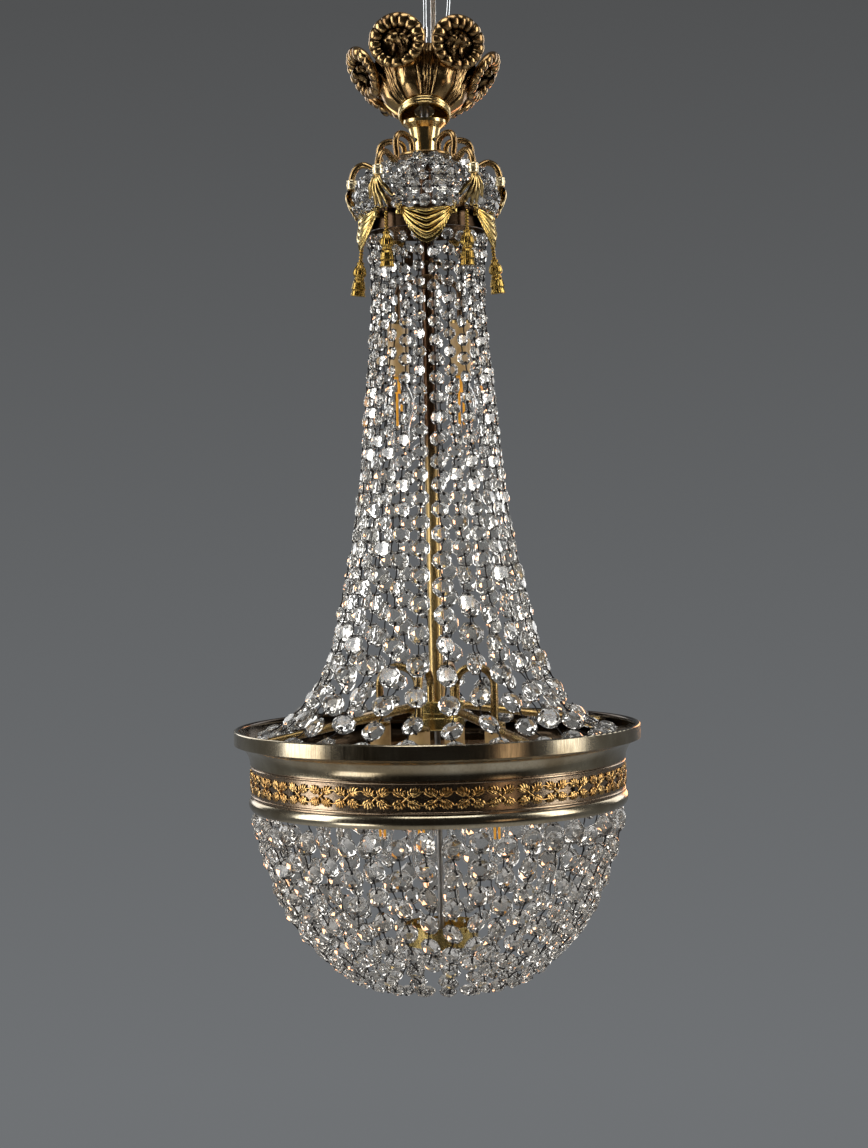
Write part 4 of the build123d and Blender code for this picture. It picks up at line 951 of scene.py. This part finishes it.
# Painted shade: faces turned towards the stem are painted near black.
clear_of_inner_shade = spread(tree, facing, -0.1, -0.02)
wear_and_painted_light = blend_colours(tree, clear_of_inner_shade, (0.035, 0.024, 0.015), wear_and_painted_light)
coat(tree, skin, wear_and_painted_light, spread(tree, brushed, 0.3, 0.7, 0.13, 0.24))
grain_bump(tree, skin, brushed, 0.00005, 0.3)
give_finish(rim_finish, "rim_band", "cove_ring", "lower_moulding")
frieze = aged_metal(
    "frieze_brass", (0.42, 0.32, 0.22), (0.26, 0.18, 0.115), (0.06, 0.038, 0.025), 0.22,
    patch=0.03, lathe=True,
)
give_finish(frieze, "frieze_band")

# The frieze ornament: a stamped gilt band of forty little wreaths, each of four fans of leaves
# round an open middle, laced together by crossing ties.
WREATHS = 40
FRIEZE_OUT, FRIEZE_MIDDLE = 186.3, -701.5
FANS = [(-1, 1), (1, 1), (-1, -1), (1, -1)]
STALK_REACH, STALK_UP, STALK_R = 12.5, 6.4, 0.5
TIE_AT, TIE_REACH, TIE_UP, TIE_R = 14.6, 4.6, 3.6, 0.75
FAN_LEAFLETS = [
    # root and tip, across and up from the wreath's middle, and half width
    ((11.2, 2.2), (13.2, 7.6), 1.7),
    ((9.8, 2.8), (10.0, 9.6), 2.0),
    ((8.4, 3.2), (6.4, 10.2), 2.1),
    ((7.4, 3.2), (2.9, 9.4), 2.0),
    ((6.8, 2.6), (0.9, 6.6), 1.8),
    ((9.6, 1.8), (4.4, 3.4), 1.4),
]


def on_frieze(middle, across, up, out=0.0):
    """A point on the band, across and up from the wreath's middle, out from the band."""
    turn = middle + math.degrees(across / FRIEZE_OUT)
    return around(turn, FRIEZE_OUT + out, FRIEZE_MIDDLE + up)


def add_wreath(bm, middle):
    """Four fans of leaves on their two stalks, and the crossed tie that joins the next wreath."""
    for sideways, upwards in FANS:
        for (x0, y0), (x1, y1), width in FAN_LEAFLETS:
            spine = []
            for t in (0, 0.25, 0.5, 0.75, 1):
                across, up = sideways * (x0 + (x1 - x0) * t), upwards * (y0 + (y1 - y0) * t)
                spine.append(on_frieze(middle, across, up, 0.1 + 0.7 * math.sin(math.pi * t)))
            widths = [0.5, 0.9 * width, width, 0.8 * width, 0.25]
            add_leaf(bm, spine, widths, around(middle, 1, 0), rise=0.7, thick=0.1)
    for upwards in (-1, 1):
        stalk = [
            MM * on_frieze(middle, across, upwards * (STALK_UP - 0.03 * across**2), 1.1)
            for across in (-STALK_REACH, -8, -4, 0, 4, 8, STALK_REACH)
        ]
        add_tube(bm, stalk, STALK_R * MM)
    for lean in (-1, 1):
        tie = []
        for t in (-1, -0.5, 0, 0.5, 1):
            out = 0.9 + 0.5 * (1 - t * t) * (lean > 0)
            tie.append(MM * on_frieze(middle, TIE_AT + TIE_REACH * t, lean * TIE_UP * t, out))
        add_tube(bm, tie, TIE_R * MM, 8)


stamped = aged_metal(
    "stamped_gilt", (0.95, 0.62, 0.25), (0.72, 0.4, 0.13), (0.09, 0.035, 0.012), 0.22
)
bm = bmesh.new()
for wreath in range(WREATHS):
    add_wreath(bm, 360 / WREATHS * (wreath + 0.5))
ornament = mesh_piece(bm, "frieze_wreaths", stamped)
ride_chandelier(ornament, "gilt_brass", "frieze_ornament")

# Cut crystals on blackened wire: octagon drops of clear glass, ground with a table and two rings
# of facets on both faces, each drilled at two opposite flats for the wire that joins it on.
TABLE_OF_SIZE = 0.56
DEPTH_OF_SIZE = 0.46
CUT_RINGS = [
    # share of the radius, turn in degrees, share of the half depth
    (1.0, 22.5, 0.1),
    (0.86, 0, 0.48),
    (0.56, 22.5, 1.0),
]
HOLE_OUT = 0.664
HOLE_RISE = 0.185
WIRE_R = 0.65 * MM
DOT_R = 1.6 * MM
KEYS_PER_METRE = 1500
TABLE_LEEWAY = 0.03
CROWN_PANELS = 5
TENT_STRINGS, TENT_FIRST = 24, 20.5
BASKET_STRINGS, BASKET_FIRST = 44, 4
BASKET_BEND = (0.06, -0.78)


def stones_on(node, strings, sort):
    """Centre, string direction, facing and size of each crystal of a CAD node, string by string.

    The two octagon tables of a crystal are the only regular eight-cornered faces of the node.
    """
    bm = bmesh.new()
    bm.from_mesh(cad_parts[node].data)
    bmesh.ops.remove_doubles(bm, verts=bm.verts, dist=1e-6)
    bmesh.ops.dissolve_limit(bm, angle_limit=math.radians(0.4), verts=bm.verts, edges=bm.edges)
    found = {}
    for face in bm.faces:
        corners = [vert.co for vert in face.verts]
        if len(corners) != 8:
            continue
        middle = sum(corners, Vector()) / 8
        reaches = [(corner - middle).length for corner in corners]
        if max(reaches) - min(reaches) > TABLE_LEEWAY * max(reaches):
            continue
        size = 2 * reaches[0] / TABLE_OF_SIZE
        centre = middle - face.normal * size * DEPTH_OF_SIZE / 2
        key = tuple(round(value * KEYS_PER_METRE) for value in centre)
        outwards = Vector((centre.x, centre.y, 0)).dot(face.normal)
        if key not in found or outwards > found[key][0]:
            sides = zip(corners, corners[1:] + corners[:1])
            flats = [((a + b) / 2 - middle).normalized() for a, b in sides]
            found[key] = (outwards, centre.copy(), flats, face.normal.copy(), size)
    bm.free()
    rows = {}
    for outwards, centre, flats, facing, size in found.values():
        rows.setdefault(strings(centre), []).append((sort(centre), centre, flats, facing, size))
    threaded = []
    for key in sorted(rows):
        row = sorted(rows[key], key=lambda stone: stone[0])
        string = []
        for number, (_, centre, flats, facing, size) in enumerate(row):
            onward = row[min(number + 1, len(row) - 1)][1] - row[max(number - 1, 0)][1]
            along = max(flats, key=lambda flat: flat.dot(onward))
            string.append((centre, along, facing, size))
        threaded.append(string)
    return threaded


def azimuth_of(point):
    """Degrees round the stem from the front."""
    return math.degrees(math.atan2(point.x, -point.y)) % 360


def add_crystal(bm, centre, along, facing, size, tone, tones):
    """One cut octagon, its holes on the line along."""
    side = along.cross(facing)
    halves = []
    for sign in (1, -1):
        loops = []
        for share, turn, rise in CUT_RINGS:
            middle = centre + facing * (sign * rise * size * DEPTH_OF_SIZE / 2)
            angles = [math.radians(turn + 45 * corner) for corner in range(8)]
            reach = share * size / 2
            loops.append([bm.verts.new(middle + turned(side, along, a) * reach) for a in angles])
        halves.append(loops)
    front, back = halves
    for vert in sum(front + back, []):
        vert[tones] = tone
    for k in range(8):
        after = (k + 1) % 8
        bm.faces.new((back[0][k], back[0][after], front[0][after], front[0][k]))
        for (outer, middle, inner), order in ((front, 1), (back, -1)):
            for corners in (
                (outer[k], outer[after], middle[after]),
                (middle[k], outer[k], middle[after]),
                (inner[k], middle[k], middle[after]),
                (inner[k], middle[after], inner[after]),
            ):
                bm.faces.new(corners[::order])
    bm.faces.new(front[2])
    bm.faces.new(back[2][::-1])


def add_wire(bm, upper, lower, front):
    """The bent wire that joins two crystals through their holes, in front of them or behind."""
    (top, top_along, top_face, top_size), (low, low_along, low_face, low_size) = upper, lower
    first = top + top_along * (top_size / 2 * HOLE_OUT)
    last = low - low_along * (low_size / 2 * HOLE_OUT)
    top_rise = top_face * (front * (HOLE_RISE * top_size + 0.2 * MM))
    low_rise = low_face * (front * (HOLE_RISE * low_size + 0.2 * MM))
    over = (top_rise + low_rise) * 0.42
    route = [
        first - top_rise, first + top_rise * 0.8, first + top_rise + (last - first) * 0.06,
        (first * 2 + last) / 3 + over, (first + last * 2) / 3 + over,
        last + low_rise + (first - last) * 0.06, last + low_rise * 0.8, last - low_rise,
    ]
    add_tube(bm, route, WIRE_R, 5)
    for hole, rise in ((first, top_rise), (last, low_rise)):
        away = rise.normalized() * 0.5 * MM
        for end in (hole + rise, hole - rise):
            add_tube(bm, [end - away, end, end + away], [0.6 * DOT_R, DOT_R, 0.5 * DOT_R], 7)


def crystal_finish(name, clean, clouded, dusty, clear):
    """Old cut glass: clear, a shade different from stone to stone, faintly dusty."""
    material, tree, skin = new_finish(name, Transmission_Weight=clear, IOR=1.54)
    tone = add_node(tree, "Attribute", attribute_name="tone").outputs["Fac"]
    film = blotches(tree, 0.006, 5)
    colour = blend_colours(tree, tone, clean, clouded)
    colour = blend_colours(tree, spread(tree, film, 0.55, 0.8, 0, 0.35), colour, dusty)
    coat(tree, skin, colour, spread(tree, film, 0.45, 0.85, 0.0, 0.04))
    grain_bump(tree, skin, blotches(tree, 0.009, 2), 0.00012, 0.35)
    return material


blackened, tree, skin = new_finish("blackened_wire", Specular_IOR_Level=0.1)
tarnish = blotches(tree, 0.002)
rusty = spread(tree, tarnish, 0.5, 0.75)
rusty = blend_colours(tree, rusty, (0.006, 0.005, 0.005), (0.03, 0.02, 0.014))
coat(tree, skin, rusty, spread(tree, tarnish, 0.3, 0.7, 0.5, 0.75))
grain_bump(tree, skin, blotches(tree, 0.0006), 0.0001)


def dress_strings(node, name, strings, sort, glass, seed, turn, sizes, stray=0.0):
    """Cut crystals and their wires in place of the plain strings of a CAD node."""
    chance = random.Random(seed)
    bm, wired = bmesh.new(), bmesh.new()
    tones = bm.verts.layers.float.new("tone")
    for number, string in enumerate(stones_on(node, strings, sort)):
        for place, (centre, along, facing, size) in enumerate(string):
            shift = stray * (number % 2 * 2 - 1 + chance.uniform(-0.3, 0.3))
            string[place] = (centre + along * shift, along, facing, size)
        for centre, along, facing, size in string:
            lean = Matrix.Rotation(math.radians(chance.uniform(-turn, turn)), 3, along)
            size *= chance.uniform(*sizes)
            add_crystal(bm, centre, along, lean @ facing, size, chance.random(), tones)
        for upper, lower in zip(string, string[1:]):
            add_wire(wired, upper, lower, chance.choice((1, 1, -1)))
    crystals = mesh_piece(bm, name, glass, smooth=False)
    crystals.visible_shadow = False
    for piece in (crystals, mesh_piece(wired, name + "_wires", blackened)):
        ride_chandelier(piece, "cut_glass", node)


clear_glass = crystal_finish(
    "cut_glass", (0.98, 0.97, 0.94), (0.86, 0.84, 0.79), (0.74, 0.72, 0.66), 0.965
)
warm_glass = crystal_finish(
    "cut_glass_warm", (0.96, 0.94, 0.9), (0.74, 0.7, 0.64), (0.66, 0.62, 0.55), 0.965
)
panel = 360 / CROWN_PANELS
dress_strings(
    "crown_garlands", "crown_crystals",
    lambda c: (round(c.z * 1e3), int(((azimuth_of(c) + panel / 2) % 360) // panel)),
    lambda c: (azimuth_of(c) + panel / 2) % panel,
    clear_glass, 3, 40, (1.02, 1.2), 2.2 * MM,
)
dress_strings(
    "tent_strings", "tent_crystals",
    lambda c: round((azimuth_of(c) - TENT_FIRST) / (360 / TENT_STRINGS)) % TENT_STRINGS,
    lambda c: -c.z,
    clear_glass, 5, 16, (0.95, 1),
)
dress_strings(
    "basket_strings", "basket_crystals",
    lambda c: round((azimuth_of(c) - BASKET_FIRST) / (360 / BASKET_STRINGS)) % BASKET_STRINGS,
    lambda c: -math.atan2(c.z - BASKET_BEND[1], math.hypot(c.x, c.y) - BASKET_BEND[0]),
    warm_glass, 7, 12, (0.99, 1.06),
)
